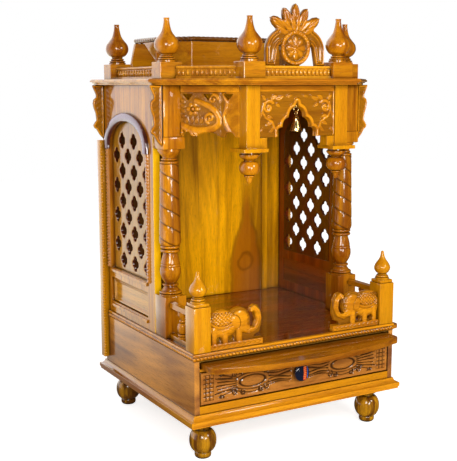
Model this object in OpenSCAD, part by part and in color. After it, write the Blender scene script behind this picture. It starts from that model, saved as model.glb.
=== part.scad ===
// Home temple cabinet: a base with a drawer and two pull-out trays, an open
// shrine with latticed side walls and turned columns, and a canopy whose
// centre bay steps forward over two hanging pendants.
// X runs to the right, Y to the back and Z up. The origin is on the floor,
// at the centre of the bounding box.

/* [Base cabinet] */
// Width over the cabinet sides
base_w = 550; // [500:1:620]
// Depth over the cabinet sides
base_d = 501; // [480:1:560]
// Thickness of the cabinet sides
side_t = 12.5; // [9:0.5:18]
// Thickness of the cabinet back
back_t = 12.5; // [8:0.5:18]
// Height of the turned feet
foot_h = 90; // [60:1:120]
// Diameter of the ball of a foot
foot_d = 62; // [50:1:70]
// Distance from a cabinet side to a foot's axis
foot_inset = 42; // [35:1:60]
// Height of the plinth moulding
moulding_h = 26; // [20:1:34]
// How far the plinth moulding stands out
moulding_out = 14.5; // [8:0.5:20]
// Width of a plinth moulding strip inside the cabinet's outline
moulding_in = 28; // [20:1:36]
// Thickness of the bottom board
bottom_t = 14; // [8:1:20]
// Height of the rail under the drawer
rail_h = 18; // [12:1:26]
// Height of the drawer opening
drawer_open_h = 79; // [60:1:110]
// Height of the rail between the drawer and the front tray
divider_h = 6; // [4:0.5:10]
// Height of the slot of the front tray
tray_slot_h = 15; // [14:0.5:20]
// Thickness of the shelf between the two trays
shelf_t = 3; // [2:0.5:6]
// Height of the slot of the side tray
side_slot_h = 10; // [9:0.5:14]
// Thickness of the deck board
deck_t = 7.6; // [5:0.2:12]
// Thickness of the applied rope band
band_t = 6.5; // [4:0.5:10]
// How far the rope band and the deck stand out
band_out = 2.5; // [0:0.5:5]

/* [Drawer and trays] */
// Gap round the drawer front
drawer_gap = 3; // [1:0.5:6]
// Thickness of the drawer front
drawer_front_t = 16; // [10:1:22]
// Thickness of the drawer's sides and back
drawer_board_t = 10; // [6:1:14]
// Thickness of the drawer's bottom
drawer_floor_t = 5; // [3:1:8]
// Gap between the drawer and the cabinet's back
drawer_back_gap = 52.5; // [10:0.5:120]
// Height of the drawer box
drawer_box_h = 62; // [40:1:66]
// Thickness of the front tray
front_tray_t = 13; // [8:0.5:13.5]
// Gap between the front tray and the cabinet sides
tray_gap = 5; // [2:0.5:10]
// Gap between the front tray, part-way out, and the cabinet's back board
front_tray_gap = 180; // [120:1:260]
// How far the front tray's bow stands past the cabinet front
front_tray_out = 91.5; // [60:0.5:120]
// Depth of the bow in the front tray's edge
front_tray_bow = 38; // [20:1:50]
// Thickness of the side tray
side_tray_t = 8.8; // [6:0.2:9]
// Gap between the side tray and the cabinet's back board
side_tray_gap = 83.5; // [10:0.5:160]
// Length of the side tray
side_tray_l = 450; // [300:1:470]
// Gap that lets a board slide
slide_gap = 0.3; // [0.2:0.1:0.6]
// Diameter of the ceramic knob
knob_d = 40; // [30:1:46]

/* [Shrine] */
// Height from the deck to the underside of the canopy
shrine_h = 577.4; // [500:1:660]
// Thickness of the side walls
wall_t = 17; // [14:0.5:20]
// How far the side walls stand in from the cabinet side
wall_inset = 3; // [2:0.5:8]
// Thickness of the back wall
back_wall_t = 14; // [8:1:20]
// Distance from the cabinet front to a column's axis
column_back = 175; // [160:1:200]
// Width of a column's square blocks
column_w = 55; // [46:1:60]
// Height of a column's plinth block
column_plinth_h = 96; // [70:1:120]
// Diameter of a column's spiral shaft
shaft_d = 45; // [34:1:50]
// Width of the front stile of a side wall
stile_w = 39.5; // [30:0.5:50]
// Width of the rear stile of a side wall
rear_stile_w = 39; // [39:0.5:60]
// Height of the lower panel's foot over the deck
panel_foot = 27.4; // [20:0.1:34]
// Height of the lower panel
panel_h = 63; // [50:1:66]
// Height of the window's sill over the deck
window_sill = 114.4; // [105:0.1:130]
// Height of the arch's springing over the deck
arch_spring = 430; // [400:1:450]
// Rise of the window's arch
arch_rise = 66; // [40:1:70]
// Width of the raised arch moulding
arch_band = 16; // [10:0.5:16]
// How far the arch moulding stands out
arch_out = 9; // [7:0.5:12]
// Distance between columns of lattice holes
lattice_y = 34.5; // [32:0.5:36]
// Half the distance between holes in one column
lattice_z = 37.5; // [37:0.5:42]
// Width of a lattice hole
hole_w = 37; // [26:0.5:37]
// Height of a lattice hole
hole_h = 38; // [28:0.5:38]
// Thickness of the lattice panel
lattice_t = 7; // [4:0.5:9]

/* [Deck front] */
// Width of a corner post
post_w = 41.5; // [34:0.5:48]
// Height of a corner post
post_h = 109.4; // [90:0.1:130]
// Height of a corner post's finial
post_finial_h = 69; // [50:1:80]
// Length of a carved bracket panel
bracket_l = 136; // [100:1:150]
// Height of a carved bracket panel
bracket_h = 92; // [70:1:104]
// Thickness of a carved bracket panel
bracket_t = 14; // [8:1:20]
// Height of a side railing
railing_h = 84.4; // [70:0.1:100]

/* [Canopy] */
// Distance from a cabinet side to a side finial's axis
canopy_inset = 29; // [20:1:34]
// Distance from the centre to a bay post's axis
bay_half = 118; // [100:1:130]
// How far the bay posts stand in front of the columns
bay_out = 146.5; // [120:0.5:170]
// Width of a bay post
bay_post_w = 34; // [26:1:38]
// Length of a bay post, down to the underside of its plate
bay_post_l = 146; // [130:1:160]
// Width of the plate under a bay post
plate_w = 63; // [50:1:70]
// Thickness of the plate under a bay post
plate_t = 8; // [5:0.5:12]
// Height of a hanging pendant
pendant_h = 70; // [50:1:90]
// Height of the cusped arch's apex below the cornice
arch_apex = 38; // [30:1:50]
// Height of a scalloped bracket under the eaves
eave_h = 137; // [110:1:160]
// Thickness of a scalloped bracket under the eaves
eave_t = 10; // [6:1:14]
// Height of the carved panels under the cornice
frieze_h = 115; // [90:1:130]
// Thickness of the carved panels
frieze_t = 14; // [8:1:20]
// How far the cornice stands out past the finial axes
cornice_out = 57; // [50:1:64]
// Thickness of the cornice board
cornice_t = 14; // [10:1:20]
// Width of a gallery block
block_w = 55; // [46:1:60]
// Depth of a gallery block
block_d = 45; // [36:1:54]
// Height of a gallery block
block_h = 37; // [30:1:46]
// Height of the gallery rails
gallery_h = 28; // [20:1:30]
// Thickness of the gallery rails
gallery_t = 18; // [12:1:24]
// Height of a roof finial
finial_h = 97; // [80:1:110]
// Diameter of a roof finial's bulb
finial_d = 57; // [44:1:60]
// Height of the crown box on the roof
crown_h = 90; // [60:1:110]
// Height of the rope rim on the crown box
rim_h = 12; // [8:1:16]
// Thickness of the crown box's boards
crown_t = 12; // [8:1:16]
// Height of the crest over the gallery rail
crest_h = 136; // [110:1:150]
// Thickness of the crest
crest_t = 18; // [12:1:24]

/* [Bell] */
// Height of the bell's body
bell_h = 34; // [26:1:40]
// Diameter of the bell's mouth
bell_d = 27; // [20:1:32]
// Thickness of the bell's wall
bell_wall = 1.6; // [1.2:0.1:2.4]
// Thickness of the rings that the bell hangs by
ring_wire = 2.4; // [1.6:0.2:3]

/* [Hidden] */
$fn = 48;

// Heights of the base, from the floor up
z_moulding = foot_h;
z_rail = z_moulding + moulding_h;
z_drawer = z_rail + rail_h;
z_divider = z_drawer + drawer_open_h;
z_tray = z_divider + divider_h;
z_shelf = z_tray + tray_slot_h;
z_slot = z_shelf + shelf_t;
z_deck_under = z_slot + side_slot_h;
z_deck = z_deck_under + deck_t;

// Half sizes of the base, about the cabinet's centre
base_x = base_w / 2;
base_y = base_d / 2;
inner_x = base_x - side_t;
band_x = base_x + band_out;
band_front = -base_y - band_out;
band_back = band_front + band_t;

// Shrine planes
wall_out = base_x - wall_inset;
wall_in = wall_out - wall_t;
column_x = wall_out - column_w / 2;
column_y = -base_y + column_back;
wall_front = column_y + column_w / 2;
back_in = base_y - back_wall_t;
z_canopy = z_deck + shrine_h;
z_sill = z_deck + window_sill;
z_spring = z_deck + arch_spring;
window_front = wall_front + stile_w;
window_back = base_y - rear_stile_w;
window_half = (window_back - window_front) / 2;
window_y = window_front + window_half;
rear_post_d = 22;
rear_post_w = 17;
rear_post_lift = 13;
rear_post_front = base_y - rear_post_d;
rear_post_out = wall_out + rear_post_w;
rear_post_foot = z_rail + rear_post_lift;
rear_post_top = z_canopy - eave_h - slide_gap;
panel_low = z_deck + panel_foot;
panel_high = panel_low + panel_h;
wall_panel_t = 6;
panel_recess = 2;
strip_inset = 42;
strip_w = 18;
strip_t = 5;
lattice_setback = 10;
leg_out = 6;
hood_drop = 10;
ledge_out = 4;
ledge_t = 8;
hole_edge = 5;

// Column heights
z_column = z_deck + column_plinth_h;
cap_h = 28;
z_frieze = z_canopy - frieze_h;
z_cap = z_frieze - cap_h;
vase_h = 118;
capital_h = 34;
shaft_foot = z_column + vase_h;
shaft_top = z_cap - capital_h;

// Canopy planes
canopy_half = base_x - canopy_inset;
finial_shift = 3;
side_y = column_y + finial_shift;
bay_y = side_y - bay_out;
finial_back_inset = 41;
finial_back = base_y - finial_back_inset;
eave_back = 4.5;
canopy_back = base_y + eave_back;
z_roof = z_canopy + cornice_t;
z_gallery = z_roof + gallery_h;
z_block = z_roof + block_h;
z_plate = z_canopy - bay_post_l;
bay_block_w = 20;
pendant_r = 24;
arch_half = 50;
crown_inset = 60;
crown_half = canopy_half - crown_inset;
crown_front_half = crown_half - 61;
crown_d = 202;
crown_cant = 71;
crown_wing = 20;
crown_back_inset = 10.5;
crown_back = base_y - crown_back_inset;
crown_front = crown_back - crown_d;
crown_corner = crown_front + crown_cant;
gusset_run = 72;
crest_half = 78;
shoulder = 34;
leaf_foot = 62;
medallion_r = 39;
gusset_h = 48;

// The drawer runs on strips on the cabinet sides
runner_w = 9;
runner_h = 10;
runner_lift = 4;
runner_top = z_drawer + runner_lift;
drawer_side_gap = 4;
drawer_side_x = inner_x - drawer_side_gap;
tray_runner_w = 15;
tray_runner_h = 8;
rail_d = 18;
divider_d = 20;
drawer_box_low = runner_top + slide_gap;
drawer_front_x = inner_x - drawer_gap;
field_edge = 7;
field_depth = 3;
drawer_box_front = -base_y + drawer_front_t;
drawer_box_back = base_y - back_t - drawer_back_gap;
tray_half = inner_x - tray_gap;
front_tray_front = -base_y - front_tray_out;
front_tray_back = base_y - back_t - front_tray_gap;

// The side tray stands part-way out, as far as the cornice above it
tray_corner = 22;
side_corner = 18;
side_tray_end = canopy_half + cornice_out;
side_tray_front = band_back + 1;
side_tray_back = base_y - back_t - side_tray_gap;

// The bell hangs by a loop in a ring under the arch
frieze_inset = 3;
frieze_rail = 20;
pierce_r = 32;
block_step = 2;
eave_inset = 3;
eave_setback = 2;
bell_y = bay_y - bay_post_w / 2 + frieze_inset + frieze_t / 2;
hook_r = 6;
hook_screw = 24;
hook_drop = 23;
z_pivot = z_canopy - arch_apex - hook_drop;
loop_r = 5;

// The box runs from the bowed tray to the plinth moulding
y_front = front_tray_front;
y_back = base_y + moulding_out;
origin_y = -(y_front + y_back) / 2;

// A block between two corners
module block(low, high) {
    translate(low) cube(high - low);
}

// The same shape on the right and on the left
module both_sides() {
    children();
    mirror([1, 0, 0]) children();
}

// One side only: -1 is the left one, 1 the right one
module on_side(side) {
    if (side > 0) children();
    else mirror([1, 0, 0]) children();
}

// Moves a shape from the cabinet's centre to the part's own origin
module placed() {
    translate([0, origin_y, 0]) children();
}

// Stretches of a turned outline, as [radius, height] points
function eased(z0, z1, r0, r1, n = 5) = [
    for (i = [0 : n]) [r0 + (r1 - r0) * (1 - cos(180 * i / n)) / 2, z0 + (z1 - z0) * i / n]
];
function bead(z0, z1, r, out, n = 6) = [
    for (i = [0 : n]) [r + out * sin(180 * i / n), z0 + (z1 - z0) * (1 - cos(180 * i / n)) / 2]
];

// Points of an oval about [x, y], with half sizes a and b
function oval(x, y, a, b, n = 28) = [for (i = [0 : n - 1]) [x + a * cos(360 * i / n), y + b * sin(360 * i / n)]];

// A solid turned about Z from its outline
module turned(outline) {
    last = len(outline) - 1;
    rotate_extrude()
        polygon(concat([[0, outline[0][1]]], outline, [[0, outline[last][1]]]));
}

// Base

module foot() {
    ball = foot_d / 2;
    turned(concat(
        [[15, 0], [17, 2]],
        bead(2, foot_h * 0.16, 17, 2),
        bead(foot_h * 0.16, foot_h * 0.74, 15, ball - 15, 10),
        eased(foot_h * 0.74, foot_h * 0.82, 15, 17),
        bead(foot_h * 0.82, foot_h, 21, 4)
    ));
}

module feet() {
    color("peru") placed()
        for (x = [-1, 1], y = [-1, 1])
            translate([x * (base_x - foot_inset), y * (base_y - foot_inset), 0]) foot();
}

// Section of the plinth moulding: X runs outward from the cabinet's side
module moulding_section() {
    cove = moulding_h * 0.42;
    difference() {
        translate([-moulding_in, 0]) square([moulding_in + moulding_out, moulding_h]);
        translate([moulding_out, moulding_h]) circle(cove);
        translate([moulding_out - 2, -1]) square([3, moulding_h * 0.2 + 1]);
    }
}

// Plan of one mitred strip along the front of a w by d rectangle
module mitre_plan(w, d) {
    out = moulding_out;
    inside = moulding_in;
    polygon([
        [-w - out, -d - out], [w + out, -d - out],
        [w - inside, -d + inside], [-w + inside, -d + inside]
    ]);
}

// A mitred strip along the front of a w by d rectangle, given as half sizes
module moulding_strip(w, d) {
    reach = w + moulding_out + 1;
    translate([0, 0, z_moulding]) intersection() {
        translate([-reach, -d, 0]) rotate([90, 0, 90])
            linear_extrude(2 * reach) mirror([1, 0]) moulding_section();
        linear_extrude(moulding_h) mitre_plan(w, d);
    }
}

module moulding_front() {
    color("chocolate") placed() moulding_strip(base_x, base_y);
}

module moulding_back() {
    color("chocolate") placed() rotate(180) moulding_strip(base_x, base_y);
}

module moulding_left() {
    color("peru") placed() rotate(-90) moulding_strip(base_y, base_x);
}

module moulding_right() {
    color("peru") placed() rotate(90) moulding_strip(base_y, base_x);
}

module base_bottom() {
    x = base_x - moulding_in;
    y = base_y - moulding_in;
    color("sienna") placed() block([-x, -y, z_moulding], [x, y, z_moulding + bottom_t]);
}

// The left side is rebated at its top for the rope band
module base_side_left() {
    color("peru") placed() union() {
        block([-base_x, -base_y, z_rail], [-inner_x, base_y, z_slot]);
        block([-band_x + band_t, band_back, z_slot], [-inner_x, base_y, z_deck_under]);
    }
}

// The right side stops under the slot of the side tray
module base_side_right() {
    color("peru") placed() union() {
        block([inner_x, -base_y, z_rail], [base_x, base_y, z_slot]);
        block([inner_x, side_tray_back + drawer_side_gap, z_slot], [base_x, base_y, z_deck_under]);
    }
}

module base_back() {
    color("peru") placed()
        block([-inner_x, base_y - back_t, z_rail], [inner_x, base_y, z_deck_under]);
}

module front_rail() {
    color("goldenrod") placed()
        block([-inner_x, -base_y, z_rail], [inner_x, -base_y + rail_d, z_drawer]);
}

module divider() {
    color("goldenrod") placed()
        block([-inner_x, -base_y, z_divider], [inner_x, -base_y + divider_d, z_tray]);
}

// Thin board over the front tray, on which the side tray slides
module shelf() {
    color("sienna") placed()
        block([-inner_x, band_back, z_shelf], [inner_x, base_y - back_t, z_slot]);
}

module deck() {
    left = -band_x + band_t;
    color("saddlebrown") placed() translate([0, 0, z_deck_under]) linear_extrude(deck_t)
        polygon([
            [left, band_back], [band_x, band_back], [band_x, rear_post_front],
            [base_x, rear_post_front], [base_x, base_y], [-base_x, base_y],
            [-base_x, rear_post_front], [left, rear_post_front]
        ]);
}

module rope_band_front() {
    color("chocolate") placed()
        block([-band_x, band_front, z_slot], [band_x, band_back, z_deck]);
}

module rope_band_left() {
    color("chocolate") placed()
        block([-band_x, band_back, z_slot], [-band_x + band_t, rear_post_front, z_deck]);
}

// Strips that carry the drawer
module drawer_runners() {
    color("sienna") placed() both_sides()
        block([inner_x - runner_w, -base_y + rail_d, runner_top - runner_h],
            [inner_x, base_y - back_t, runner_top]);
}

// Strips that carry the front tray behind the divider
module tray_runners() {
    color("sienna") placed() both_sides()
        block([inner_x - tray_runner_w, -base_y + divider_d, z_tray - tray_runner_h],
            [inner_x, base_y - back_t, z_tray]);
}

// Drawer

// Drawer front with a plain border round a sunk, carved field
module drawer_front() {
    x = drawer_front_x;
    low = z_drawer + drawer_gap;
    high = z_divider - drawer_gap;
    color("darkgoldenrod") placed() difference() {
        block([-x, -base_y, low], [x, drawer_box_front, high]);
        difference() {
            block([field_edge - x, -base_y - 1, low + field_edge],
                [x - field_edge, field_depth - base_y, high - field_edge]);
            translate([0, 0, (low + high) / 2]) rotate([90, 0, 0]) cylinder(h = base_y + 2, d = knob_d * 0.8);
        }
    }
}

module drawer_sides() {
    color("burlywood") placed() both_sides()
        block([drawer_side_x - drawer_board_t, drawer_box_front, drawer_box_low],
            [drawer_side_x, drawer_box_back, drawer_box_low + drawer_box_h]);
}

module drawer_back() {
    x = drawer_side_x - drawer_board_t;
    color("burlywood") placed()
        block([-x, drawer_box_back - drawer_board_t, drawer_box_low],
            [x, drawer_box_back, drawer_box_low + drawer_box_h]);
}

module drawer_floor() {
    x = drawer_side_x - drawer_board_t;
    color("burlywood") placed()
        block([-x, drawer_box_front, drawer_box_low + 3],
            [x, drawer_box_back - drawer_board_t, drawer_box_low + 3 + drawer_floor_t]);
}

// Round glazed knob on a short neck
module knob() {
    r = knob_d / 2;
    color("midnightblue") placed()
        translate([0, -base_y, (z_drawer + z_divider) / 2]) rotate([90, 0, 0])
            turned(concat([[r * 0.55, 0], [r * 0.55, 2], [r * 0.4, 3]],
                eased(3, 7, r * 0.4, r * 0.75), bead(7, 15, r * 0.75, r * 0.25, 8),
                eased(15, 17, r * 0.7, 0.5, 4)));
}

// Trays

// Front edge of the front tray, x from its middle
bow_half = tray_half - tray_corner;
bow_r = (bow_half * bow_half + front_tray_bow * front_tray_bow) / (2 * front_tray_bow);
function bow_y(x) = front_tray_front + bow_r - sqrt(bow_r * bow_r - x * x);

// Board with a bowed front edge and rounded front corners
module front_tray() {
    steps = 8;
    edge = [for (i = [0 : steps]) let (x = bow_half * i / steps) [x, bow_y(x)]];
    corner = [for (a = [15 : 15 : 90])
        [bow_half + tray_corner * sin(a), bow_y(bow_half) + tray_corner * (1 - cos(a))]];
    half = concat(edge, corner, [[tray_half, front_tray_back]]);
    left = [for (i = [len(half) - 1 : -1 : 1]) [-half[i][0], half[i][1]]];
    color("goldenrod") placed() translate([0, 0, z_tray + slide_gap])
        linear_extrude(front_tray_t) polygon(concat(half, left));
}

// Thin board with rounded corners at its right end
module side_tray() {
    r = side_corner;
    front = side_tray_front;
    back = side_tray_back;
    left = side_tray_end - side_tray_l;
    turn = [for (a = [0 : 15 : 90]) [side_tray_end - r + r * sin(a), r * (1 - cos(a))]];
    color("goldenrod") placed() translate([0, 0, z_slot + slide_gap]) linear_extrude(side_tray_t)
        polygon(concat(
            [[left, back], [left, front]],
            [for (p = turn) [p[0], front + p[1]]],
            [for (i = [len(turn) - 1 : -1 : 0]) [turn[i][0], back - turn[i][1]]]
        ));
}

// Deck front

module post_finial() {
    h = post_finial_h;
    turned(concat(
        [[17, 0], [17, h * 0.06]],
        bead(h * 0.06, h * 0.14, 13, 2.5, 4),
        eased(h * 0.14, h * 0.2, 12, 13, 3),
        bead(h * 0.2, h * 0.64, 9, 10.5, 8),
        eased(h * 0.64, h * 0.97, 9, 3.6, 5),
        [[2, h]]
    ));
}

module corner_post(side) {
    color("goldenrod") placed() on_side(side) union() {
        block([base_x - post_w, -base_y, z_deck], [base_x, -base_y + post_w, z_deck + post_h - 8]);
        block([base_x - post_w + 2, -base_y + 2, z_deck + post_h - 8],
            [base_x - 2, -base_y + post_w - 2, z_deck + post_h]);
        translate([base_x - post_w / 2, -base_y + post_w / 2, z_deck + post_h]) post_finial();
    }
}

module corner_post_left() {
    corner_post(-1);
}

module corner_post_right() {
    corner_post(1);
}

// Carved bracket panel beside a corner post: an elephant with a raised trunk
// on a plain strip. X runs from the post towards the middle.
module bracket_outline() {
    l = bracket_l;
    h = bracket_h;
    difference() {
        intersection() {
            square([l, h]);
            bracket_shapes(l, h);
        }
        for (x = [0.17, 0.42]) translate([l * x, h * 0.24]) circle(h * 0.07, $fn = 16);
    }
}

// Body, head, leg and raised trunk of the animal, over the strip
module bracket_shapes(l, h) {
    square([l, h * 0.16]);
    square([l * 0.42, h * 0.86]);
    polygon(oval(l * 0.25, h * 0.56, h * 0.5, h * 0.4));
    polygon(oval(l * 0.55, h * 0.62, h * 0.34, h * 0.36));
    polygon([[l * 0.3, 0], [l * 0.8, 0], [l * 0.88, h * 0.3], [l * 0.62, h * 0.6], [l * 0.3, h * 0.5]]);
    polygon([
        [l * 0.78, h * 0.2], [l * 0.95, h * 0.28], [l, h * 0.5], [l * 0.98, h * 0.82], [l * 0.92, h * 0.97],
        [l * 0.84, h], [l * 0.77, h * 0.94], [l * 0.76, h * 0.84], [l * 0.84, h * 0.8], [l * 0.88, h * 0.6],
        [l * 0.84, h * 0.44], [l * 0.7, h * 0.44]
    ]);
}

module bracket(side) {
    color("darkgoldenrod") placed() on_side(side)
        translate([base_x - post_w, -base_y + 3 + bracket_t, z_deck]) rotate([90, 0, 0])
            linear_extrude(bracket_t) mirror([1, 0]) bracket_outline();
}

module bracket_left() {
    bracket(-1);
}

module bracket_right() {
    bracket(1);
}

railing_x = base_x - post_w / 2;
railing_front = -base_y + post_w;
railing_back = column_y - column_w / 2;
railing_foot = 10;
railing_cap = 12;
railing_half = 7;
baluster_r = 11;

module railings() {
    color("goldenrod") placed() both_sides() {
        block([railing_x - railing_half, railing_front, z_deck],
            [railing_x + railing_half, railing_back, z_deck + railing_foot]);
        block([railing_x - railing_half - 1, railing_front, z_deck + railing_h - railing_cap],
            [railing_x + railing_half + 1, railing_back, z_deck + railing_h]);
    }
}

module balusters() {
    low = z_deck + railing_foot;
    h = railing_h - railing_foot - railing_cap;
    r = baluster_r;
    color("peru") placed() both_sides()
        translate([railing_x, (railing_front + railing_back) / 2, low]) turned(concat(
            [[r, 0], [r, h * 0.1]], bead(h * 0.1, h * 0.2, r * 0.73, r * 0.27, 4),
            bead(h * 0.2, h * 0.62, r * 0.64, r * 0.54, 6), bead(h * 0.62, h * 0.72, r * 0.54, r * 0.27, 4),
            eased(h * 0.72, h * 0.88, r * 0.54, r * 0.91, 4), [[r, h * 0.9], [r, h]]
        ));
}

// Columns

module column(side) {
    w = column_w / 2;
    h = shaft_foot - z_column;
    t = z_cap - shaft_top;
    color("goldenrod") placed() on_side(side) translate([column_x, column_y, 0]) {
        block([-w, -w, z_deck], [w, w, z_column]);
        translate([0, 0, z_column]) turned(concat(
            [[w - 1, 0], [w - 1, 5]], bead(5, 13, w - 5, 4, 5),
            eased(13, 26, w - 7, 15, 4), bead(26, 32, 15, 4, 4),
            eased(32, 46, 14, 22, 4), bead(46, 84, 19, 5, 6),
            bead(84, 92, 17, 4, 4), bead(92, 99, 15, 3, 4),
            eased(99, h - 8, 15, 20, 4), bead(h - 8, h, 19, 3, 4)
        ));
        translate([0, 0, shaft_top]) turned(concat(
            bead(0, 7, 18, 4, 4), bead(7, 13, 16, 3, 4),
            eased(13, t - 5, 16, w - 3, 5), [[w - 1, t - 5], [w - 1, t]]
        ));
        block([-w, -w, z_cap], [w, w, z_frieze]);
        block([block_step - w, block_step - w, z_frieze], [w - block_step, w - block_step, z_canopy]);
    }
}

module column_left() {
    column(-1);
}

module column_right() {
    column(1);
}

// Shaft with lobes that wind round it
module shaft(side) {
    lobes = 4;
    steps = 24;
    r = shaft_d / 2;
    color("peru") placed() on_side(side) translate([column_x, column_y, shaft_foot])
        linear_extrude(shaft_top - shaft_foot, twist = 300, slices = 30)
            polygon([for (i = [0 : steps - 1]) let (a = 360 * i / steps)
                (r * 0.9 + r * 0.1 * cos(lobes * a)) * [cos(a), sin(a)]]);
}

module shaft_left() {
    shaft(-1);
}

module shaft_right() {
    shaft(1);
}

// Side walls

// Height of the window's arch over the springing, at y from its middle
function arch_at(y, half, rise) = rise * sqrt(max(0, 1 - (y / half) * (y / half)));

// Window outline in [y, z], grown by g
function window_points(g = 0) =
    let (half = window_half + g, rise = arch_rise + g, n = 16)
    [for (i = [0 : n]) [window_y + half * cos(180 * i / n), z_spring + rise * sin(180 * i / n)]];

module window_outline(low, g = 0) {
    polygon(concat(window_points(g), [[window_y - window_half - g, low], [window_y + window_half + g, low]]));
}

// Extrudes an outline in [y, z] along X, from x to x + t
module along_x(x, t) {
    translate([x, 0, 0]) rotate([90, 0, 90]) linear_extrude(t) children();
}

module wall_frame(side) {
    color("goldenrod") placed() on_side(side) union() {
        along_x(wall_in, wall_t) difference() {
            translate([wall_front, z_deck]) square([base_y - wall_front, shrine_h]);
            window_outline(z_sill);
            translate([window_front, panel_low]) square([2 * window_half, panel_high - panel_low]);
        }
        for (z = [z_sill - 1, panel_low - 4])
            block([wall_out, window_front, z - ledge_t], [wall_out + ledge_out, window_back, z]);
    }
}

module wall_frame_left() {
    wall_frame(-1);
}

module wall_frame_right() {
    wall_frame(1);
}

// A hole with four lobes, between two neighbouring rows of holes
module lattice_hole() {
    r = hole_w * 0.24;
    for (d = [[1, 0], [-1, 0]]) translate(d * (hole_w / 2 - r)) circle(r, $fn = 8);
    for (d = [[0, 1], [0, -1]]) translate(d * (hole_h / 2 - r)) circle(r, $fn = 8);
    square([hole_w / 2, hole_h / 2], center = true);
}

// A hole is cut only where the lattice has room for all of it
function hole_fits(y, z) =
    abs(y) + hole_w / 2 + hole_edge < window_half &&
    z - hole_h / 2 - hole_edge > z_sill &&
    z + hole_h / 2 + hole_edge < z_spring + arch_at(abs(y) + hole_w / 2, window_half, arch_rise);

module lattice(side) {
    columns = floor(window_half / lattice_y);
    rows = ceil((z_spring + arch_rise - z_sill) / lattice_z);
    color("peru") placed() on_side(side)
        along_x(wall_out - lattice_setback - lattice_t, lattice_t) difference() {
            window_outline(z_sill);
            for (c = [-columns : columns - 1], r = [0 : rows]) {
                y = (c + 0.5) * lattice_y;
                z = z_sill + (r + 0.75) * lattice_z;
                if ((c + r + 100) % 2 == 0 && hole_fits(y, z)) translate([window_y + y, z]) lattice_hole();
            }
        }
}

module lattice_left() {
    lattice(-1);
}

module lattice_right() {
    lattice(1);
}

// Raised hood over a window, on two thinner legs that stand on the sill
module arch_mouldings() {
    hood_foot = z_spring - hood_drop;
    color("peru") placed() both_sides() union() {
        along_x(wall_out, arch_out) difference() {
            window_outline(hood_foot, arch_band);
            window_outline(hood_foot - 1);
        }
        for (y = [window_front - arch_band, window_back])
            block([wall_out, y, z_sill], [wall_out + leg_out, y + arch_band, hood_foot]);
    }
}

module wall_panels() {
    color("chocolate") placed() both_sides()
        block([wall_in + panel_recess, window_front, panel_low],
            [wall_in + panel_recess + wall_panel_t, window_back, panel_high]);
}

module rear_posts() {
    color("orange") placed() both_sides() union() {
        block([base_x, rear_post_front, rear_post_foot], [rear_post_out, base_y, z_deck]);
        block([wall_out, rear_post_front, z_deck], [rear_post_out, base_y, rear_post_top]);
    }
}

// Back wall with two raised strips that frame its middle panel
module back_wall() {
    color("orange") placed() union() {
        block([-wall_in, back_in, z_deck], [wall_in, base_y, z_canopy]);
        both_sides() block([wall_in - strip_inset - strip_w, back_in - strip_t, z_deck],
            [wall_in - strip_inset, back_in, z_canopy]);
    }
}

// Scalloped outline under the eaves: X runs outward, Y up to the canopy
module eave_outline() {
    w = canopy_half + cornice_out - wall_out - eave_setback;
    edge = [[1, 0], [1, 0.03], [0.69, 0.175], [0.69, 0.22], [0.93, 0.263], [1, 0.33], [0.93, 0.41],
        [0.76, 0.51], [0.69, 0.64], [0.86, 0.686], [1, 0.737], [0.9, 0.78], [0.72, 0.803], [0.41, 0.91], [0, 1]];
    polygon(concat([[0, 0]], [for (p = edge) [p[0] * w, -p[1] * eave_h]]));
}

module eave_brackets() {
    color("chocolate") placed() both_sides()
        for (y = [column_y - column_w / 2 + eave_t + eave_inset, base_y - eave_inset])
            translate([wall_out, y, z_canopy]) rotate([90, 0, 0]) linear_extrude(eave_t) eave_outline();
}

// Canopy

// Unit normal of the canted bay on the right, pointing outward
cant = [canopy_half - bay_half, bay_out];
cant_normal = [cant[1], -cant[0]] / norm(cant);
cant_reach = cant_normal * [canopy_half, side_y];

// Plan of the canopy, grown by g past the lines through the finials
function canopy_plan(g) =
    let (xs = canopy_half + g, ys = (cant_reach + g - cant_normal[0] * xs) / cant_normal[1],
        yf = bay_y - g, xf = (cant_reach + g - cant_normal[1] * yf) / cant_normal[0])
    [[-xs, canopy_back], [-xs, ys], [-xf, yf], [xf, yf], [xs, ys], [xs, canopy_back]];

// Board with a stepped edge under the gallery
module cornice() {
    steps = [[cornice_out - 10, 0, 0.3], [cornice_out - 5, 0.3, 0.5], [cornice_out, 0.5, 0.85],
        [cornice_out - 3, 0.85, 1]];
    color("peru") placed() union() for (s = steps)
        translate([0, 0, z_canopy + s[1] * cornice_t])
            linear_extrude((s[2] - s[1]) * cornice_t) polygon(canopy_plan(s[0]));
}

// Square post at a corner of the centre bay, with its plate
module bay_post(side) {
    w = bay_post_w / 2;
    color("orange") placed() on_side(side) translate([bay_half, bay_y, 0]) {
        block([-w, -w, z_plate + plate_t], [w, w, z_canopy]);
        block([-plate_w / 2, -plate_w / 2, z_plate], [plate_w / 2, plate_w / 2, z_plate + plate_t]);
        block([-w - bay_block_w, -w + frieze_inset, z_plate + plate_t], [-w, w - frieze_inset, z_frieze]);
    }
}

module bay_post_left() {
    bay_post(-1);
}

module bay_post_right() {
    bay_post(1);
}

module pendants() {
    h = pendant_h;
    r = pendant_r;
    color("peru") placed() both_sides()
        translate([bay_half, bay_y, z_plate - h]) turned(concat(
            [[r * 0.125, 0], [r * 0.21, h * 0.04]], eased(h * 0.04, h * 0.2, r * 0.25, r * 0.375, 3),
            bead(h * 0.2, h * 0.27, r * 0.375, r * 0.125, 4), bead(h * 0.27, h * 0.72, r * 0.5, r * 0.46, 8),
            eased(h * 0.72, h * 0.86, r * 0.5, r * 0.91, 4), bead(h * 0.86, h * 0.94, r * 0.875, r * 0.125, 4),
            [[r * 0.83, h * 0.94], [r * 0.83, h]]
        ));
}

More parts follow.
